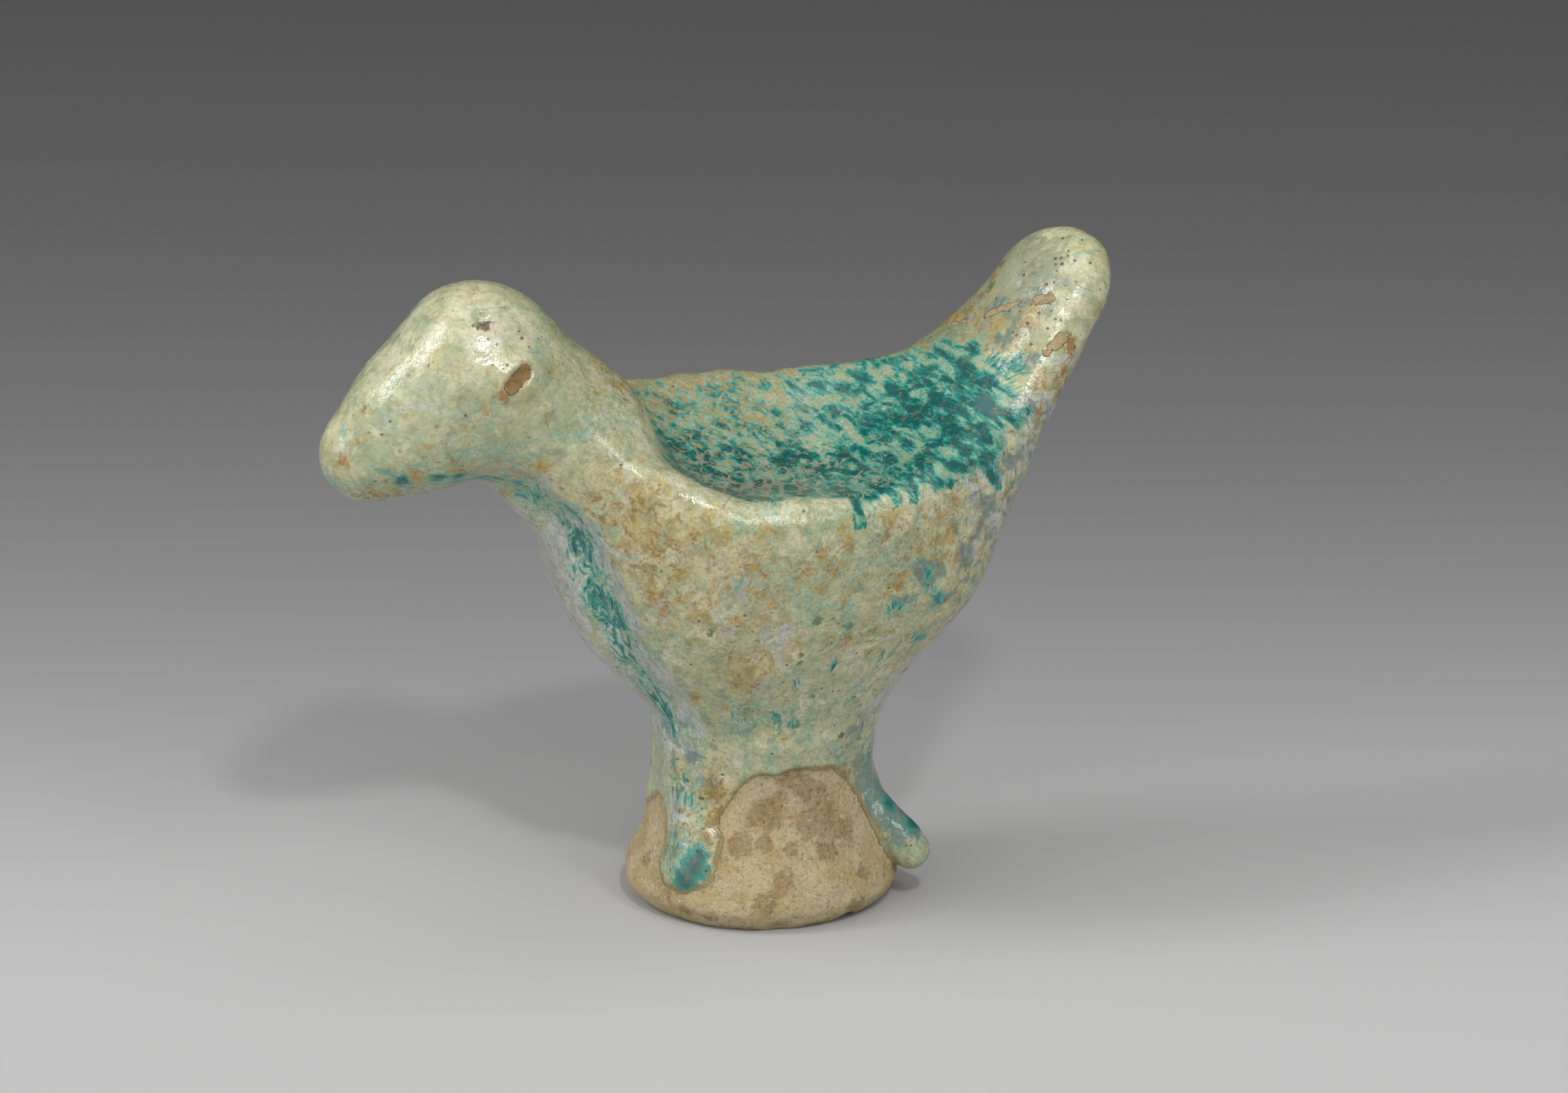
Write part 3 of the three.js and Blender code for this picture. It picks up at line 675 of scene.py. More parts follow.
class Surface:
    """The finished surface's points, how far each lies in a region, and the share of each colour there.

    Regions and shares go from 0 to 1. x, y and z are those of the bird's own frame, in millimetres.
    """

    def __init__(self, p, normal):
        self.p = p
        self.q = turned(p, -LEAN)
        self.facing = turned(normal, -LEAN, (0, 0, 0))
        x, y, z = self.q.T
        facing_back, _, facing_up = self.facing.T
        self.broad = noise(self.q, 9, 31)
        self.finer = noise(self.q, 6, 32)
        self.groove = self.within_both(along, GROOVE_RUN)

        self.head = smooth(x, -24, -31) * smooth(z, 50, 55)
        self.inside = self.dish_depth()
        upward = smooth(0.9 * facing_up - 0.4 * facing_back, 0.0, 0.35) * smooth(z, 46, 49)
        self.back = upward * smooth(self.inside + 0.8 * noise(self.q, 2.5, 33), -0.7, 1.3)
        self.rim = hump(self.inside, -0.6, 1.9) * smooth(z, 48, 51) * (1 - 0.6 * self.head)
        self.tip = smooth((self.q - TAIL_ROOT) @ unit(TAIL_TIP - TAIL_ROOT), 22, 31)
        self.tail_root = hump(x, 20, 5) * hump(y, -4, 7)
        self.tail_face = smooth(z, 61, 64) * smooth(x, 20, 24)
        self.tail_face *= smooth(facing_back, -0.1, -0.6) * smooth(facing_back, -0.3, -0.75)

    def within_both(self, depth, lines):
        """The depth inside lines on the left side or inside their mirror image."""
        return most(depth(self.p, lines), depth(self.p * (1, -1, 1), lines))

    def dish_depth(self):
        """How far inside the back's outline a point lies, in millimetres."""
        x, y, _ = self.q.T
        half = np.where(y > 0, DISH_HALF_WIDTH["right"], DISH_HALF_WIDTH["left"])
        ratios = np.abs(np.stack([(x - DISH_MIDDLE) / DISH_REACH, y / half]))
        outline = (ratios**DISH_SQUARE).sum(0) ** (1 / DISH_SQUARE)
        return (1 - outline) * (DISH_HALF_WIDTH["right"] + DISH_HALF_WIDTH["left"]) / 2

    def spots(self, places, spread=1.0):
        return cover(self.p, on_bird(places), spread)

    def foot_spots(self, places):
        return cover(self.p, on_foot(places))

    def glaze(self):
        """How far inside the glaze's edge a point lies, more where a drip stands out from the clay."""
        reach = glaze_reach(self.p)
        reach += 1.4 * smooth(reach, 0.1, 0.3) * np.clip(clay(self.p) - 0.35, 0, 2)
        return np.clip(reach, -3, 3)

    def teal(self):
        x, y, z = self.q.T
        left_rim = hump(self.inside, 2.2, 2.4) * smooth(y, -2, -8) * smooth(x, -15, -7)
        deepest = hump(x, -6, 8) * hump(y, -9, 5)
        far_middle = smooth(y, 2, 12) * smooth(x, -16, -4)
        share = 0.64 + 0.14 * left_rim + 0.24 * deepest + 0.17 * self.tail_root + 0.1 * self.broad
        share -= 0.17 * far_middle
        share *= self.back * smooth(z + 0.5 * noise(self.q, 1.5, 34), 62.6, 60.6)
        share -= 0.5 * hump(self.inside, 0.3, 2.2) * smooth(y, 3, 9)
        runs = 0.85 * smooth(within(self.p, TEAL_RUNS), -0.7, 0.3)
        groove = (0.5 + 0.12 * self.finer) * smooth(self.groove, -1.5, 0.5)
        places = most(0.85 * self.spots(TEAL), 0.5 * self.spots(TEAL_FLANK))
        return most(share, runs, groove, places, 0.42 * self.foot_spots(TEAL_LEG))

    def veined(self):
        x, y, _ = self.q.T
        return self.back * (0.3 + 0.65 * hump(x, -5, 9) * hump(y, -7, 7)) * smooth(x, 16, 6)

    def flecks(self):
        x, y, _ = self.q.T
        return self.back * (0.2 + 0.16 * smooth(y, 2, 12)) * smooth(x, 9, 1)

    def film(self):
        x, y, z = self.q.T
        facing_back = self.facing[:, 0]
        breast = smooth(facing_back, -0.3, -0.8) * smooth(z, 16, 24) * smooth(z, 54, 50)
        breast *= smooth(np.abs(y), 13, 9)
        low_rump = smooth(x, 2, 10) * smooth(z, 14, 20) * smooth(z, 40, 30)
        high_rump = smooth(x, 14, 20) * smooth(z, 40, 46) * smooth(facing_back, -0.2, 0.3)
        groove = smooth(self.groove, -3.6, -1.4) * smooth(z, 54, 49)
        places = 0.42 * most(self.spots(GREY_PLACES), self.foot_spots(FILM_FOOT))
        rump_film = most(0.35 * low_rump, 0.4 * high_rump * (1 - self.tip))
        return most(0.75 * breast, 0.62 * groove, rump_film, places)

    def blue(self):
        rear = smooth(self.q[:, 0], 12, 20) * smooth(self.facing[:, 0], -0.3, 0.4) * (1 - self.tip)
        foot = most(1.1 * self.foot_spots(BLUE_DRIP), 0.3 * self.foot_spots(BLUE_LEG))
        return most(0.8 * self.spots(BLUE), 0.4 * rear, 0.14 * self.tail_face, foot)

    # Pale cream glaze, partly painted highlight: the cream on the up-facing crown is painted highlight, and
    # along the left rim's crest it is partly thin pale glaze and partly painted highlight.
    def cream(self):
        crown_highlight = self.head * smooth(self.facing[:, 2], 0.2, 0.8)
        left_rim = self.rim * smooth(self.q[:, 1], 4, -6)
        share = most(0.72 * left_rim, 0.5 * self.tip, 0.6 * crown_highlight, 0.12 * self.head)
        return most(share - 0.35 * self.tail_face, 0.6 * self.spots(CREAM_AND_HIGHLIGHT))

    def ochre(self):
        x, y, z = self.q.T
        below_tip = 1 - self.tip
        flank = smooth(z, 24, 40) * (1 - self.head) * (1 - self.back) * below_tip
        chin = smooth(self.facing[:, 2], -0.1, -0.7) * self.head
        far_back = smooth(y, 0, 11) * self.back * (1 - self.tail_root)
        tail_side = smooth(x, 14, 20) * smooth(y, 2, 6) * smooth(z, 56, 60) * below_tip
        rump_side = smooth(x, 4, 12) * smooth(z, 28, 36) * (1 - self.back) * below_tip
        share = 0.05 + flank * (0.12 + 0.2 * self.broad) + 0.1 * self.head * self.broad
        share += 0.22 * chin + 0.34 * far_back + 0.3 * tail_side + 0.14 * rump_side
        share -= 0.12 * self.tip + 0.1 * self.rim * smooth(y, 0, -6)
        share += 0.3 * self.spots(OCHRE, spread=1.7)
        return most(share, 0.56 * self.spots(OCHRE), 0.85 * self.foot_spots(OCHRE_FOOT))

    def wash(self):
        """Thin turquoise: most of it low down, under the head and beside the groove."""
        x, _, z = self.q.T
        facing_up = self.facing[:, 2]
        belly = smooth(z, 34, 26) * smooth(z, 10, 14)
        rear = smooth(x, 6, 16) * (1 - self.tip) * (1 - self.back)
        share = 0.13 + 0.14 * self.finer + 0.34 * belly + 0.06 * rear
        share += (0.6 * smooth(facing_up, 0.0, -0.6) - 0.24 * smooth(facing_up, -0.4, 0.1)) * self.head
        share += 0.1 * self.rim - 0.5 * self.tip
        groove = 0.85 * smooth(self.groove, -2.6, -0.6)
        return most(share, 0.8 * self.spots(TURQUOISE), groove, 0.95 * self.foot_spots(WASH_FOOT))

    def tone(self):
        """From green to buff."""
        return 0.5 + 0.3 * self.broad + 0.5 * self.spots(BUFF_PLACES) - 0.5 * self.spots(GREEN_PLACES)

    def calm(self):
        """Where the mottling is faint."""
        x, _, z = self.q.T
        return most(0.7 * self.head, 0.75 * smooth(z, 61, 64) * smooth(x, 16, 20))

    def flow(self):
        """Coordinates for patterns that run down the sides."""
        x, y, z = self.q.T
        turn = np.arctan2(y / half_width(z), x / ((breast(z) + rump(z)) / 2))
        return np.stack([FLOW_RADIUS * np.cos(turn), FLOW_RADIUS * np.sin(turn), FLOW_SCALE * z], 1)

    def dash(self):
        """Coordinates for the slanting dashes on the back."""
        sideways, away, up = (self.p @ np.stack(DASH_FRAME, 1)).T
        cosine, sine = DASH_SLANT
        slanted = (cosine * sideways - sine * up, sine * sideways + cosine * up, away)
        return np.stack(slanted, 1) * DASH_SCALE

    def eye(self):
        return self.within_both(within, EYE_CLAY)

    def scrape(self):
        return within(self.p, SCRAPES)

    def brown(self):
        return most(self.spots(BROWN), 0.34 * self.foot_spots(DOTTED_LEG))

    def dotted(self):
        return most(0.66 * self.spots(DOTTED), self.foot_spots(DOTTED_LEG))

    def attributes(self):
        """The values that the material reads, by name."""
        values = {"back": self.back, "dull": self.tail_face}
        for kind in (
            self.glaze, self.teal, self.veined, self.flecks, self.film, self.blue, self.cream, self.ochre,
            self.wash, self.tone, self.calm, self.brown, self.dotted, self.scrape, self.eye, self.flow,
            self.dash,
        ):
            values[kind.__name__] = kind()
        for name, places in {"green": GREEN, "dark": DARK}.items():
            values[name] = self.spots(places)
        for name, places in {"pool": POOLS, "stain": STAINS, "pale": PALE_CLAY}.items():
            values[name] = self.foot_spots(places)
        return values


def make_mesh(name, points, faces):
    mesh = bpy.data.meshes.new(name)
    mesh.from_pydata(points * MM, [], faces)
    mesh.validate()
    mesh.polygons.foreach_set("use_smooth", np.ones(len(faces), bool))
    return mesh


def add_attributes(mesh, values):
    for name, value in values.items():
        kind = "FLOAT_VECTOR" if value.ndim == 2 else "FLOAT"
        slot = "vector" if value.ndim == 2 else "value"
        attribute = mesh.attributes.new(name, kind, "POINT")
        attribute.data.foreach_set(slot, value.astype(np.float32).ravel())


# The glaze and the clay as a material

# Glaze on the body and head
CELADON = (0.345, 0.405, 0.24)
BUFF = (0.485, 0.445, 0.245)
CREAM_GLAZE = (0.62, 0.60, 0.40)
TURQUOISE_GLAZE = (0.12, 0.32, 0.245)
PALE_TURQUOISE = (0.27, 0.43, 0.31)
OCHRE_GLAZE = (0.24, 0.135, 0.02)
PALE_OCHRE = (0.40, 0.28, 0.075)
OLIVE = (0.19, 0.20, 0.075)
GREEN_SPOT = (0.08, 0.16, 0.05)
DULL_GLAZE = (0.285, 0.30, 0.205)
# The back
BACK_GROUND = (0.18, 0.26, 0.165)
PALE_GROUND = (0.33, 0.375, 0.245)
HALO = (0.03, 0.34, 0.27)
TEAL_GLAZE = (0.001, 0.235, 0.19)
DARK_TEAL = (0.001, 0.06, 0.065)
VEIN = (0.40, 0.385, 0.27)
FLECK = (0.36, 0.25, 0.085)
# Weathering and spots
FILM = (0.61, 0.62, 0.55)
VIOLET = (0.41, 0.43, 0.42)
BLUE_FILM = (0.065, 0.145, 0.15)
SPECK = (0.06, 0.05, 0.025)
BROWN_SPOT = (0.29, 0.15, 0.045)
EDGE_BROWN = (0.27, 0.19, 0.065)
# Clay
CLAY = (0.70, 0.53, 0.255)
CLAY_PALE = (0.80, 0.65, 0.385)
CLAY_CRUST = (0.88, 0.76, 0.50)
CLAY_STAIN = (0.34, 0.20, 0.085)
CLAY_SPECK = (0.22, 0.14, 0.065)
BARE_CLAY = (0.47, 0.29, 0.11)
PINK_CLAY = (0.58, 0.44, 0.27)

# Noises that several layers share: size, detail, roughness, distortion.
FINE = (0.36, 5, 0.7)
FINE_BACK = (0.45, 5, 0.7)
RAGGED = (2.3, 8, 0.74, 0.6)
GRAINY = (0.55, 7, 0.7)

GLAZE_ROUGHNESS = (0.07, 0.24)  # where it is fresh and where it is worn
CLAY_ROUGHNESS = 0.92
CLAY_RELIEF = 0.75  # in millimetres
GLAZE_IOR = 1.6


class Nodes:
    """A material whose nodes are built with short calls.

    A value is a number, a colour or another node's output.
    """

    def __init__(self, name):
        self.material = bpy.data.materials.new(name)
        self.material.use_nodes = True
        self.tree = self.material.node_tree
        self.inputs = self.tree.nodes["Principled BSDF"].inputs

    def add(self, kind, values, output=0, **settings):
        node = self.tree.nodes.new("ShaderNode" + kind)
        for name, value in settings.items():
            setattr(node, name, value)
        for socket, value in values.items():
            self.feed(node.inputs[socket], value)
        return node.outputs[output]

    def feed(self, socket, value):
        if isinstance(value, bpy.types.NodeSocket):
            self.tree.links.new(value, socket)
        elif socket.type == "RGBA":
            socket.default_value = (*value, 1)
        else:
            socket.default_value = value

    def attribute(self, name, output="Fac"):
        return self.add("Attribute", {}, output, attribute_name=name)

    def math(self, operation, a, b=0.0, c=0.0):
        return self.add("Math", {0: a, 1: b, 2: c}, operation=operation)

    def times(self, a, b):
        return self.math("MULTIPLY", a, b)

    def less(self, a, b):
        return self.math("SUBTRACT", a, b)

    def most(self, a, b):
        return self.math("MAXIMUM", a, b)

    def plus(self, a, b, amount=1.0):
        return self.math("MULTIPLY_ADD", b, amount, a)

    def mix(self, factor, a, b):
        return self.add("Mix", {0: factor, 6: a, 7: b}, 2, data_type="RGBA")

    def blend(self, factor, a, b):
        return self.add("Mix", {0: factor, 2: a, 3: b}, 0, data_type="FLOAT")

    def ramp(self, value, low, high, start=0.0, end=1.0):
        values = {0: value, 1: low, 2: high, 3: start, 4: end}
        return self.add("MapRange", values, interpolation_type="SMOOTHSTEP")

    def broken(self, share, noise, amount, low, high):
        """A share with a sharp edge that a noise breaks up."""
        return self.ramp(self.plus(share, self.less(noise, 0.5), amount), low, high)

    def scaled(self, vector, scale):
        return self.add("VectorMath", {0: vector, 1: scale}, operation="MULTIPLY")

    def noise(self, vector, size, detail=4.0, roughness=0.55, distortion=0.0):
        """Noise from 0 to 1 whose largest features have this size in millimetres."""
        values = {"Vector": vector, "Scale": 1 / size, "Detail": detail}
        values.update({"Roughness": roughness, "Distortion": distortion})
        return self.add("TexNoise", values, "Fac")

    def cells(self, vector, size, feature="F1"):
        return self.add("TexVoronoi", {"Vector": vector, "Scale": 1 / size}, "Distance", feature=feature)

    def patchy(self, share, pattern, soft=0.08):
        """Covers about this share, from 0 to 1, with patches that follow a noise pattern."""
        level = self.plus(share, self.ramp(pattern, 0.32, 0.68))
        return self.ramp(level, 1 - soft, 1 + soft)

    def lay(self, under, over, where, strength):
        """Lays a colour over another one."""
        return self.mix(self.times(where, strength), under, over)

    def paint(self, under, over, share, pattern, soft, strength):
        """Lays a colour over about this share of another, in patches that follow a pattern."""
        return self.lay(under, over, self.patchy(share, pattern, soft), strength)

    def threads(self, under, over, pattern, width, where, strength):
        """Lays thin lines of a colour over another, where a noise pattern crosses its middle."""
        off = self.math("ABSOLUTE", self.less(pattern, 0.5))
        return self.lay(under, over, self.times(self.ramp(off, width, width * 0.3), where), strength)


def ground_colour(g, mm, flow, mottle):
    """Green, buff and cream glaze with runs of thin turquoise; part of the cream is painted highlight."""
    colour = g.mix(g.patchy(g.attribute("tone"), g.noise(mm, 3.5, 7, 0.66), 0.5), CELADON, BUFF)
    # The cream share lays painted highlight on the crown, the left rim's crest and the tail's near edge.
    colour = g.paint(colour, CREAM_GLAZE, g.attribute("cream"), mottle, soft=0.3, strength=0.85)
    pale = g.noise(mm, 2.2, 7, 0.66, 0.5)
    colour = g.paint(colour, CREAM_GLAZE, 0.22, pale, soft=0.3, strength=0.6)
    olive = g.noise(mm, 2.0, 7, 0.68, 0.5)
    colour = g.paint(colour, OLIVE, 0.14, olive, soft=0.26, strength=0.5)

    wash = g.patchy(g.attribute("wash"), g.noise(flow, 3.2, 7, 0.66, 0.8), 0.2)
    turquoise = g.mix(g.ramp(g.noise(mm, *FINE), 0.38, 0.6), TURQUOISE_GLAZE, PALE_TURQUOISE)
    colour = g.lay(colour, turquoise, wash, 0.62)
    where = g.times(wash, g.patchy(0.6, g.noise(mm, *RAGGED), 0.2))
    lines = g.noise(flow, 3.0, 6, 0.6, 1.2)
    colour = g.threads(colour, TURQUOISE_GLAZE, lines, 0.022, where, strength=0.5)
    crazing = g.noise(mm, 1.9, 6, 0.6, 1.5)
    colour = g.threads(colour, CREAM_GLAZE, crazing, 0.018, g.patchy(0.5, mottle, 0.2), strength=0.5)
    return g.paint(colour, DULL_GLAZE, g.attribute("dull"), g.noise(mm, 1.6, 6, 0.66), 0.3, 0.75)


def ochre_colour(g, mm, mottle, colour):
    """Ochre stains: pale patches with darker middles and branching lines."""
    share = g.attribute("ochre")
    ochre = g.patchy(share, g.noise(mm, *RAGGED), 0.24)
    colour = g.lay(colour, PALE_OCHRE, ochre, 0.8)
    middles = g.noise(mm, 1.2, 7, 0.74, 0.6)
    colour = g.paint(colour, OCHRE_GLAZE, g.less(share, 0.17), middles, 0.14, 0.8)
    branches = g.noise(mm, 2.6, 7, 0.66, 1.8)
    where = g.patchy(share, mottle, 0.2)
    return g.threads(colour, OCHRE_GLAZE, branches, 0.02, where, strength=0.7), ochre


def body_colour(g, mm, flow):
    """The mottled glaze of the body and head."""
    mottle = g.noise(mm, 2.4, 7, 0.68, 0.4)
    colour, ochre = ochre_colour(g, mm, mottle, ground_colour(g, mm, flow, mottle))
    lively = g.less(1.0, g.attribute("calm"))
    uneven = g.ramp(g.noise(mm, 1.3, 8, 0.78), 0.34, 0.64, 0.78, 1.2)
    colour = g.scaled(colour, g.blend(lively, 1.0, uneven))
    fine = g.noise(mm, *FINE)
    colour = g.lay(colour, OLIVE, g.ramp(fine, 0.47, 0.34, 0.0, 0.5), lively)
    colour = g.lay(colour, CREAM_GLAZE, g.ramp(fine, 0.54, 0.66, 0.0, 0.4), lively)
    return g.paint(colour, GREEN_SPOT, g.attribute("green"), g.noise(mm, *RAGGED), 0.1, 0.85), ochre


def film_colour(g, mm, flow, colour):
    """The whitish and violet weathered film, with its dark threads."""
    film = g.patchy(g.attribute("film"), g.noise(g.scaled(flow, (1, 1, 1.3)), 2.4, 7, 0.7, 0.9), 0.25)
    streaks = g.noise(g.scaled(flow, (1, 1, 1.4)), 1.3, 7, 0.7, 0.9)
    colour = g.mix(g.times(film, 0.85), colour, g.mix(g.ramp(streaks, 0.36, 0.64), VIOLET, FILM))
    lines = g.noise(flow, 2.2, 6, 0.62, 2.0)
    colour = g.threads(colour, BLUE_FILM, lines, 0.02, film, strength=0.55)
    clouds = g.noise(mm, 1.7, 7, 0.68, 0.5)
    return g.paint(colour, BLUE_FILM, g.attribute("blue"), clouds, soft=0.35, strength=0.72), film


def back_ground(g, mm, dashes, colour):
    """The dull green ground of the back."""
    fine = g.noise(mm, *FINE_BACK)
    ground = g.mix(g.ramp(fine, 0.42, 0.62), BACK_GROUND, PALE_GROUND)
    ground = g.lay(ground, OLIVE, g.ramp(fine, 0.47, 0.36), 0.7)
    return g.paint(colour, ground, g.times(g.attribute("back"), 0.95), dashes, soft=0.4, strength=0.7)


def teal_colour(g, mm, flow, dash, colour):
    """Teal stains: slanting dashes on the back, runs elsewhere, each with a paler halo and a dark core."""
    back, teal = g.attribute("back"), g.attribute("teal")
    dashes = g.noise(dash, 1.25, 6, 0.64, 0.3)
    pattern = g.blend(back, g.noise(g.scaled(flow, (1, 1, 0.7)), 0.9, 7, 0.72, 1.2), dashes)
    colour = back_ground(g, mm, dashes, colour)
    halo = g.mix(g.ramp(g.noise(mm, *FINE_BACK), 0.4, 0.6), HALO, PALE_TURQUOISE)
    share = g.plus(g.times(back, 0.1), teal, 1.3)
    colour = g.paint(colour, halo, share, pattern, soft=0.22, strength=0.7)
    colour = g.paint(colour, TEAL_GLAZE, teal, pattern, soft=0.14, strength=0.88)
    return g.paint(colour, DARK_TEAL, g.less(teal, 0.25), pattern, soft=0.2, strength=0.8)


def vein_colour(g, mm, dash, colour):
    """A pale net over the deepest of the back, and ochre flecks."""
    bend = g.add("TexNoise", {"Vector": mm, "Scale": 1 / 1.2, "Detail": 3.0}, "Color")
    bent = g.add("VectorMath", {0: g.scaled(dash, (1.9, 1.0, 1.0)), 1: bend}, operation="ADD")
    net = g.ramp(g.cells(bent, 1.2, "DISTANCE_TO_EDGE"), 0.17, 0.05)
    vein = g.times(net, g.patchy(g.attribute("veined"), g.noise(mm, 1.2, 5, 0.65), 0.2))
    colour = g.lay(colour, VEIN, vein, 0.62)
    specks = g.noise(mm, 0.75, 6, 0.7, 0.3)
    return g.paint(colour, FLECK, g.attribute("flecks"), specks, soft=0.14, strength=0.75), vein


def pool_colour(g, mm, colour):
    """Thick dark teal at the ends of the drips."""
    pool = g.attribute("pool")
    covered = g.broken(pool, g.noise(mm, 1.3, 6, 0.66, 0.4), 1.6, 0.25, 0.6)
    deep = g.mix(g.ramp(pool, 0.5, 1.0, 0.0, 0.85), TEAL_GLAZE, DARK_TEAL)
    return g.lay(colour, deep, covered, 0.9)


def spot_colour(g, mm, colour):
    """Brown spots, the brown line along the glaze's edge, and dark pinholes."""
    colour = g.paint(colour, BROWN_SPOT, g.attribute("brown"), g.noise(mm, 0.6, 6, 0.7), 0.2, 0.9)
    edge = g.ramp(g.attribute("glaze"), 0.9, 0.1)
    colour = g.paint(colour, EDGE_BROWN, edge, g.noise(mm, 1.3, 5, 0.65), soft=0.3, strength=0.75)
    few = g.times(g.ramp(g.cells(mm, 1.8), 0.12, 0.06), g.ramp(g.noise(mm, 3, 2), 0.47, 0.53))
    crowded = g.patchy(g.times(g.attribute("dotted"), 0.85), g.noise(mm, 1.3, 2), 0.1)
    many = g.times(g.ramp(g.cells(mm, 0.9), 0.26, 0.16), crowded)
    dark = g.broken(g.attribute("dark"), g.noise(mm, 0.5, 3), 1.2, 0.5, 0.66)
    pits = g.most(g.most(few, many), dark)
    return g.lay(colour, SPECK, pits, 0.8), pits


def clay_colour(g, mm):
    """Coarse buff clay with pale places, brown stains and dark grains, and how far it stands out."""
    grain = g.noise(mm, *GRAINY)
    blotch = g.noise(mm, 1.9, 7, 0.66, 0.3)
    colour = g.mix(g.ramp(g.noise(mm, 4, 4), 0.38, 0.62), CLAY, CLAY_PALE)
    colour = g.paint(colour, CLAY_PALE, g.attribute("pale"), blotch, soft=0.2, strength=0.8)
    stain = g.broken(g.attribute("stain"), g.noise(mm, 1.5, 7, 0.72), 1.5, 0.3, 0.62)
    colour = g.mix(g.times(stain, g.ramp(grain, 0.3, 0.6, 0.75, 0.45)), colour, CLAY_STAIN)
    colour = g.mix(g.ramp(grain, 0.48, 0.33, 0.0, 0.6), colour, CLAY_SPECK)
    colour = g.mix(g.ramp(grain, 0.55, 0.68, 0.0, 0.5), colour, CLAY_PALE)
    crust = g.ramp(g.noise(mm, 1.1, 7, 0.74, 0.5), 0.53, 0.6)
    colour = g.lay(colour, CLAY_CRUST, crust, 0.5)
    specks = g.ramp(g.noise(mm, 0.42, 3, 0.6), 0.36, 0.29)
    relief = g.plus(g.plus(g.plus(grain, blotch, 0.5), specks, -0.2), crust, 0.12)
    return g.lay(colour, CLAY_SPECK, specks, 0.6), relief


def bare_clay(g, mm, edges, glaze):
    """The clay that shows in the scrapes and the eyes, with a brown line round each eye."""
    eye = g.attribute("eye")
    ring = g.ramp(g.math("ABSOLUTE", g.less(eye, -0.1)), 0.4, 0.1)
    glaze = g.lay(glaze, EDGE_BROWN, ring, 0.4)
    inside = g.most(g.attribute("scrape"), eye)
    bare = g.broken(inside, edges, 1.2, -0.05, 0.12)
    scraped = g.mix(g.ramp(g.noise(mm, *GRAINY), 0.4, 0.6), CLAY, PINK_CLAY)
    return g.mix(bare, glaze, g.mix(g.ramp(eye, -1.5, -1.0), scraped, BARE_CLAY)), bare


def glazed_clay():
    """Glossy mottled glaze over coarse bare clay."""
    g = Nodes("glazed_clay")
    mm = g.scaled(g.add("TexCoord", {}, "Object"), (1 / MM, 1 / MM, 1 / MM))
    flow, dash = g.attribute("flow", "Vector"), g.attribute("dash", "Vector")

    glaze, ochre = body_colour(g, mm, flow)
    glaze, film = film_colour(g, mm, flow, glaze)
    glaze = teal_colour(g, mm, flow, dash, glaze)
    glaze, vein = vein_colour(g, mm, dash, glaze)
    glaze, pits = spot_colour(g, mm, pool_colour(g, mm, glaze))
    edges = g.noise(mm, 0.7, 4)
    glaze, bare = bare_clay(g, mm, edges, glaze)
    earth, relief = clay_colour(g, mm)
    covered = g.broken(g.attribute("glaze"), edges, 0.6, -0.06, 0.1)
    g.feed(g.inputs["Base Color"], g.mix(covered, earth, glaze))

    glossy = g.times(covered, g.less(1.0, bare))
    worn = g.ramp(g.noise(mm, 0.8, 5, 0.65), 0.35, 0.68, *GLAZE_ROUGHNESS)
    crust = g.most(g.times(vein, 0.3), g.most(g.times(ochre, 0.2), g.times(film, 0.18)))
    g.feed(g.inputs["Roughness"], g.blend(glossy, CLAY_ROUGHNESS, g.plus(worn, crust)))

    skin = g.times(g.noise(mm, 0.45, 3, 0.6), 0.042)
    skin = g.plus(skin, g.noise(mm, 1.6, 3, 0.5), 0.13)
    skin = g.plus(g.plus(skin, vein, 0.03), pits, -0.08)
    height = g.blend(glossy, g.times(relief, CLAY_RELIEF), skin)
    bump = g.add("Bump", {"Height": height, "Distance": MM, "Strength": 1.0}, "Normal")
    g.feed(g.inputs["Normal"], bump)
    g.feed(g.inputs["IOR"], GLAZE_IOR)
    return g.material


def add_object(name, data):
    item = bpy.data.objects.new(name, data)
    bpy.context.scene.collection.objects.link(item)
    return item


def add_bird():
    points, faces = surface_mesh()
    outward = unit(gradient(figurine, points))
    mesh = make_mesh("glazed_bird", points, faces)
    add_attributes(mesh, Surface(points, outward).attributes())
    mesh.materials.append(glazed_clay())
    bird = add_object("glazed_bird", mesh)
    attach(bird, "root")
    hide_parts("bird_figurine")


# Floor, light and camera

CAMERA_TURN = math.radians(-20)
CAMERA_RISE = math.radians(17.5)
CAMERA_DISTANCE = 700  # from the centre of the foot
IMAGE_SIZE = (2296, 1600)
FOOT_PIXEL = (1113, 1300)  # where the centre of the foot falls in the picture
PIXELS_PER_MM = 13.04
SENSOR = 36

# The floor runs level and then bends up into a wall behind, in metres.
FLOOR_HALF_WIDTH = 2.5
FLOOR_NEAR = -2.0
FLOOR_REACH = 1.6
FLOOR_BEND = 0.9
WALL_HEIGHT = 2.2
BEND_STEPS = 24
# Its grey is lightest in front and fades behind the bird: painted shade, for the light falling away behind
# it.
PAPER_DARK = 0.075
PAPER_LIGHT = 0.437  # what the front has more
FADE_START = -0.05
FADE_HALFWAY = 0.144  # behind the start
FADE_POWER = 2.2
PAPER_ROUGHNESS = 0.9

# Soft lights: turn from the camera, rise, distance, width and height, watts.
LIGHTS = {
    "key": (11.5, 43.5, 0.9, (0.06, 0.06), 2.05),
    "right": (34, 37, 1.2, (0.17, 0.75), 3.0),
    "left": (-76, 42, 1.2, (0.3, 0.5), 4.3),
    "front": (-4, 34, 1.3, (1.2, 1.2), 2.4),
    "low": (-52, 14, 1.2, (1.0, 1.0), 3.0),
    "top": (0, 85, 1.2, (1.0, 1.0), 3.4),
}
LIGHTS_AIM = (0, 0, 0.04)
ROOM_GREY = 0.5
ROOM_STRENGTH = 0.55


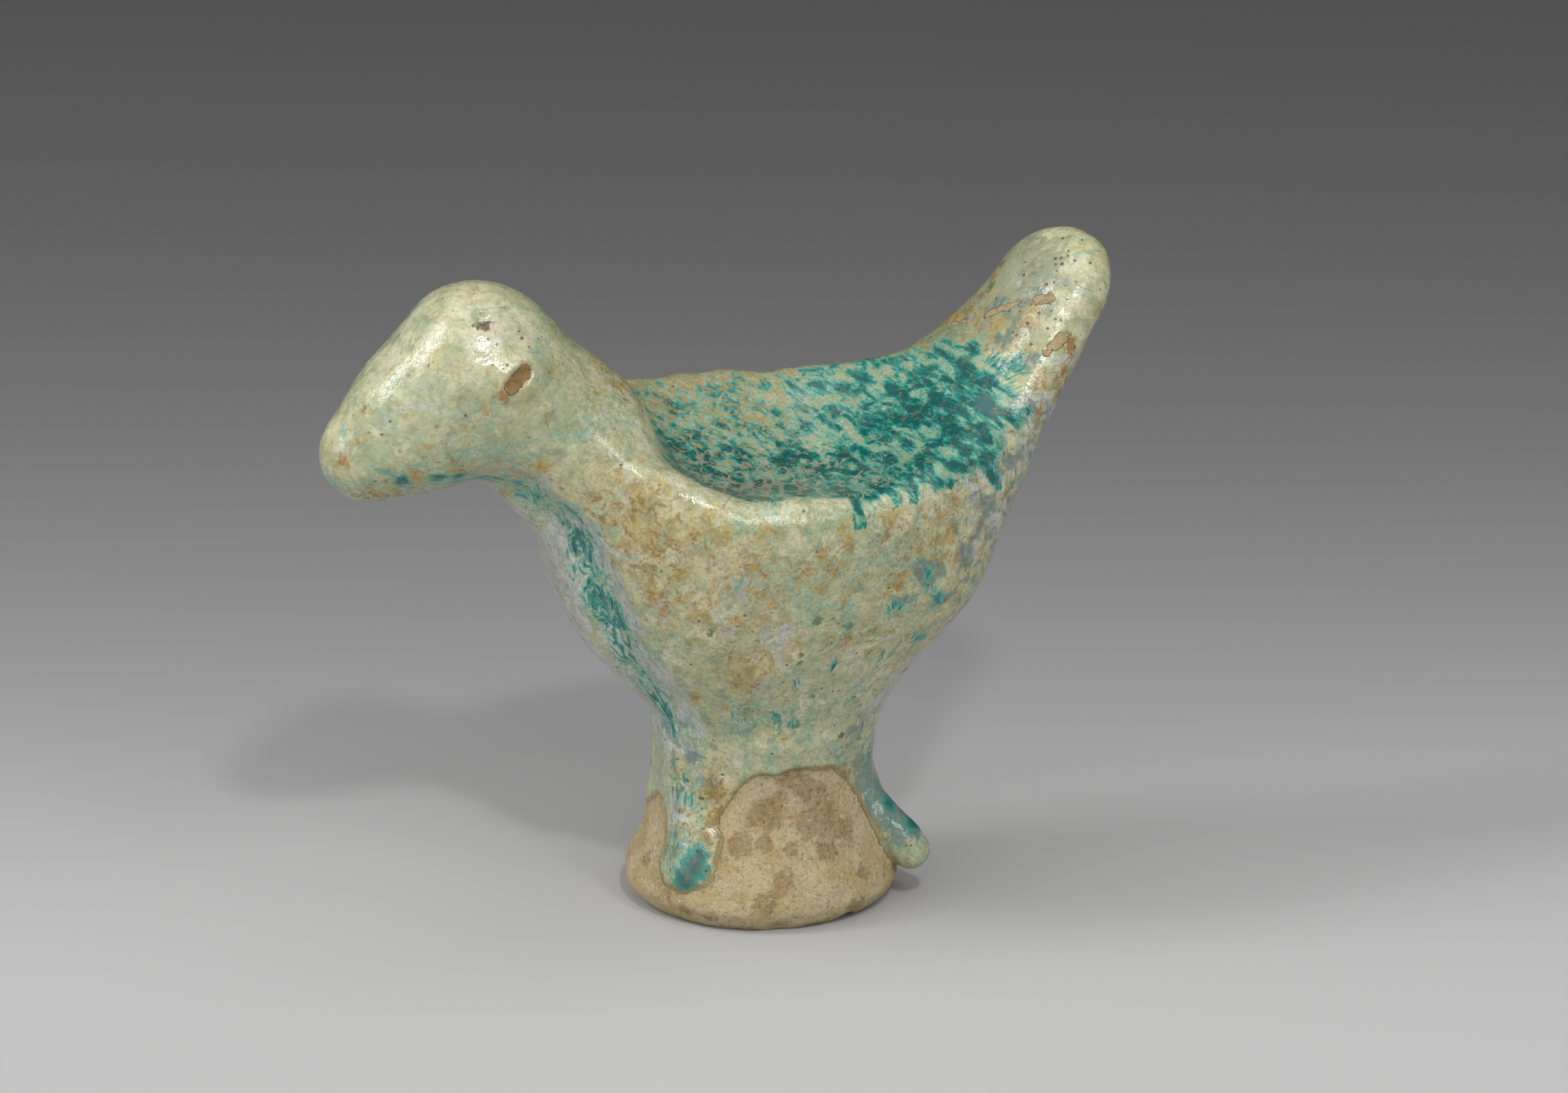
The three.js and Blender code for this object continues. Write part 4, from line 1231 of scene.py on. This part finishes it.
def look_from(turn, rise):
    """The camera's right, up and back directions."""
    level = math.cos(rise)
    back = Vector((math.sin(turn) * level, -math.cos(turn) * level, math.sin(rise)))
    right = Vector((math.cos(turn), math.sin(turn), 0))
    return right, back.cross(right), back


def add_camera():
    right, up, back = look_from(CAMERA_TURN, CAMERA_RISE)
    aside = (FOOT_PIXEL[0] - IMAGE_SIZE[0] / 2) / PIXELS_PER_MM
    below = (FOOT_PIXEL[1] - IMAGE_SIZE[1] / 2) / PIXELS_PER_MM
    place = back * CAMERA_DISTANCE - right * aside + up * below
    data = bpy.data.cameras.new("camera")
    data.sensor_width = SENSOR
    data.lens = SENSOR * PIXELS_PER_MM * CAMERA_DISTANCE / IMAGE_SIZE[0]
    data.clip_end = 20
    camera = add_object("camera", data)
    camera.matrix_world = Matrix.Translation(place * MM) @ Matrix((right, up, back)).transposed().to_4x4()
    bpy.context.scene.camera = camera


def paper():
    """Pale grey paper, with painted shade that darkens it behind the bird."""
    g = Nodes("pale_paper")
    away = g.add("SeparateXYZ", {0: g.add("TexCoord", {}, "Object")}, "Y")
    away = g.math("DIVIDE", g.less(away, FADE_START), FADE_HALFWAY)
    faded = g.plus(1.0, g.math("POWER", g.most(away, 0.0), FADE_POWER))
    shade = g.plus(PAPER_DARK, g.math("DIVIDE", PAPER_LIGHT, faded))
    g.feed(g.inputs["Base Color"], g.add("CombineColor", {0: shade, 1: shade, 2: shade}))
    g.feed(g.inputs["Roughness"], PAPER_ROUGHNESS)
    return g.material


def add_floor():
    """A pale sweep: a floor that curves up into a wall behind."""
    profile = [(FLOOR_NEAR, 0.0), (FLOOR_REACH, 0.0)]
    for i in range(1, BEND_STEPS + 1):
        a = math.pi / 2 * i / BEND_STEPS
        profile.append((FLOOR_REACH + FLOOR_BEND * math.sin(a), FLOOR_BEND * (1 - math.cos(a))))
    profile.append((FLOOR_REACH + FLOOR_BEND, FLOOR_BEND + WALL_HEIGHT))
    corners = [(side * FLOOR_HALF_WIDTH, along, up) for along, up in profile for side in (-1, 1)]
    quads = [(2 * i, 2 * i + 1, 2 * i + 3, 2 * i + 2) for i in range(len(profile) - 1)]
    data = bpy.data.meshes.new("floor")
    data.from_pydata(corners, [], quads)
    data.polygons.foreach_set("use_smooth", [True] * len(quads))
    data.materials.append(paper())
    floor = add_object("floor", data)
    floor.rotation_euler.z = CAMERA_TURN


def add_light(name, turn, rise, distance, size, watts):
    """A soft light of this width and height, at this turn from the camera and this rise."""
    _, _, back = look_from(CAMERA_TURN + math.radians(turn), math.radians(rise))
    data = bpy.data.lights.new(name, "AREA")
    data.shape = "RECTANGLE"
    data.size, data.size_y = size
    data.energy = watts
    light = add_object(name, data)
    light.location = Vector(LIGHTS_AIM) + back * distance
    light.rotation_euler = back.to_track_quat("Z", "Y").to_euler()


def add_room_light():
    world = bpy.data.worlds.new("studio")
    world.use_nodes = True
    background = world.node_tree.nodes["Background"]
    background.inputs["Color"].default_value = (ROOM_GREY, ROOM_GREY, ROOM_GREY, 1)
    background.inputs["Strength"].default_value = ROOM_STRENGTH
    bpy.context.scene.world = world
    bpy.context.scene.view_settings.view_transform = "Standard"


add_bird()
add_camera()
add_floor()
for name, setting in LIGHTS.items():
    add_light(name, *setting)
add_room_light()
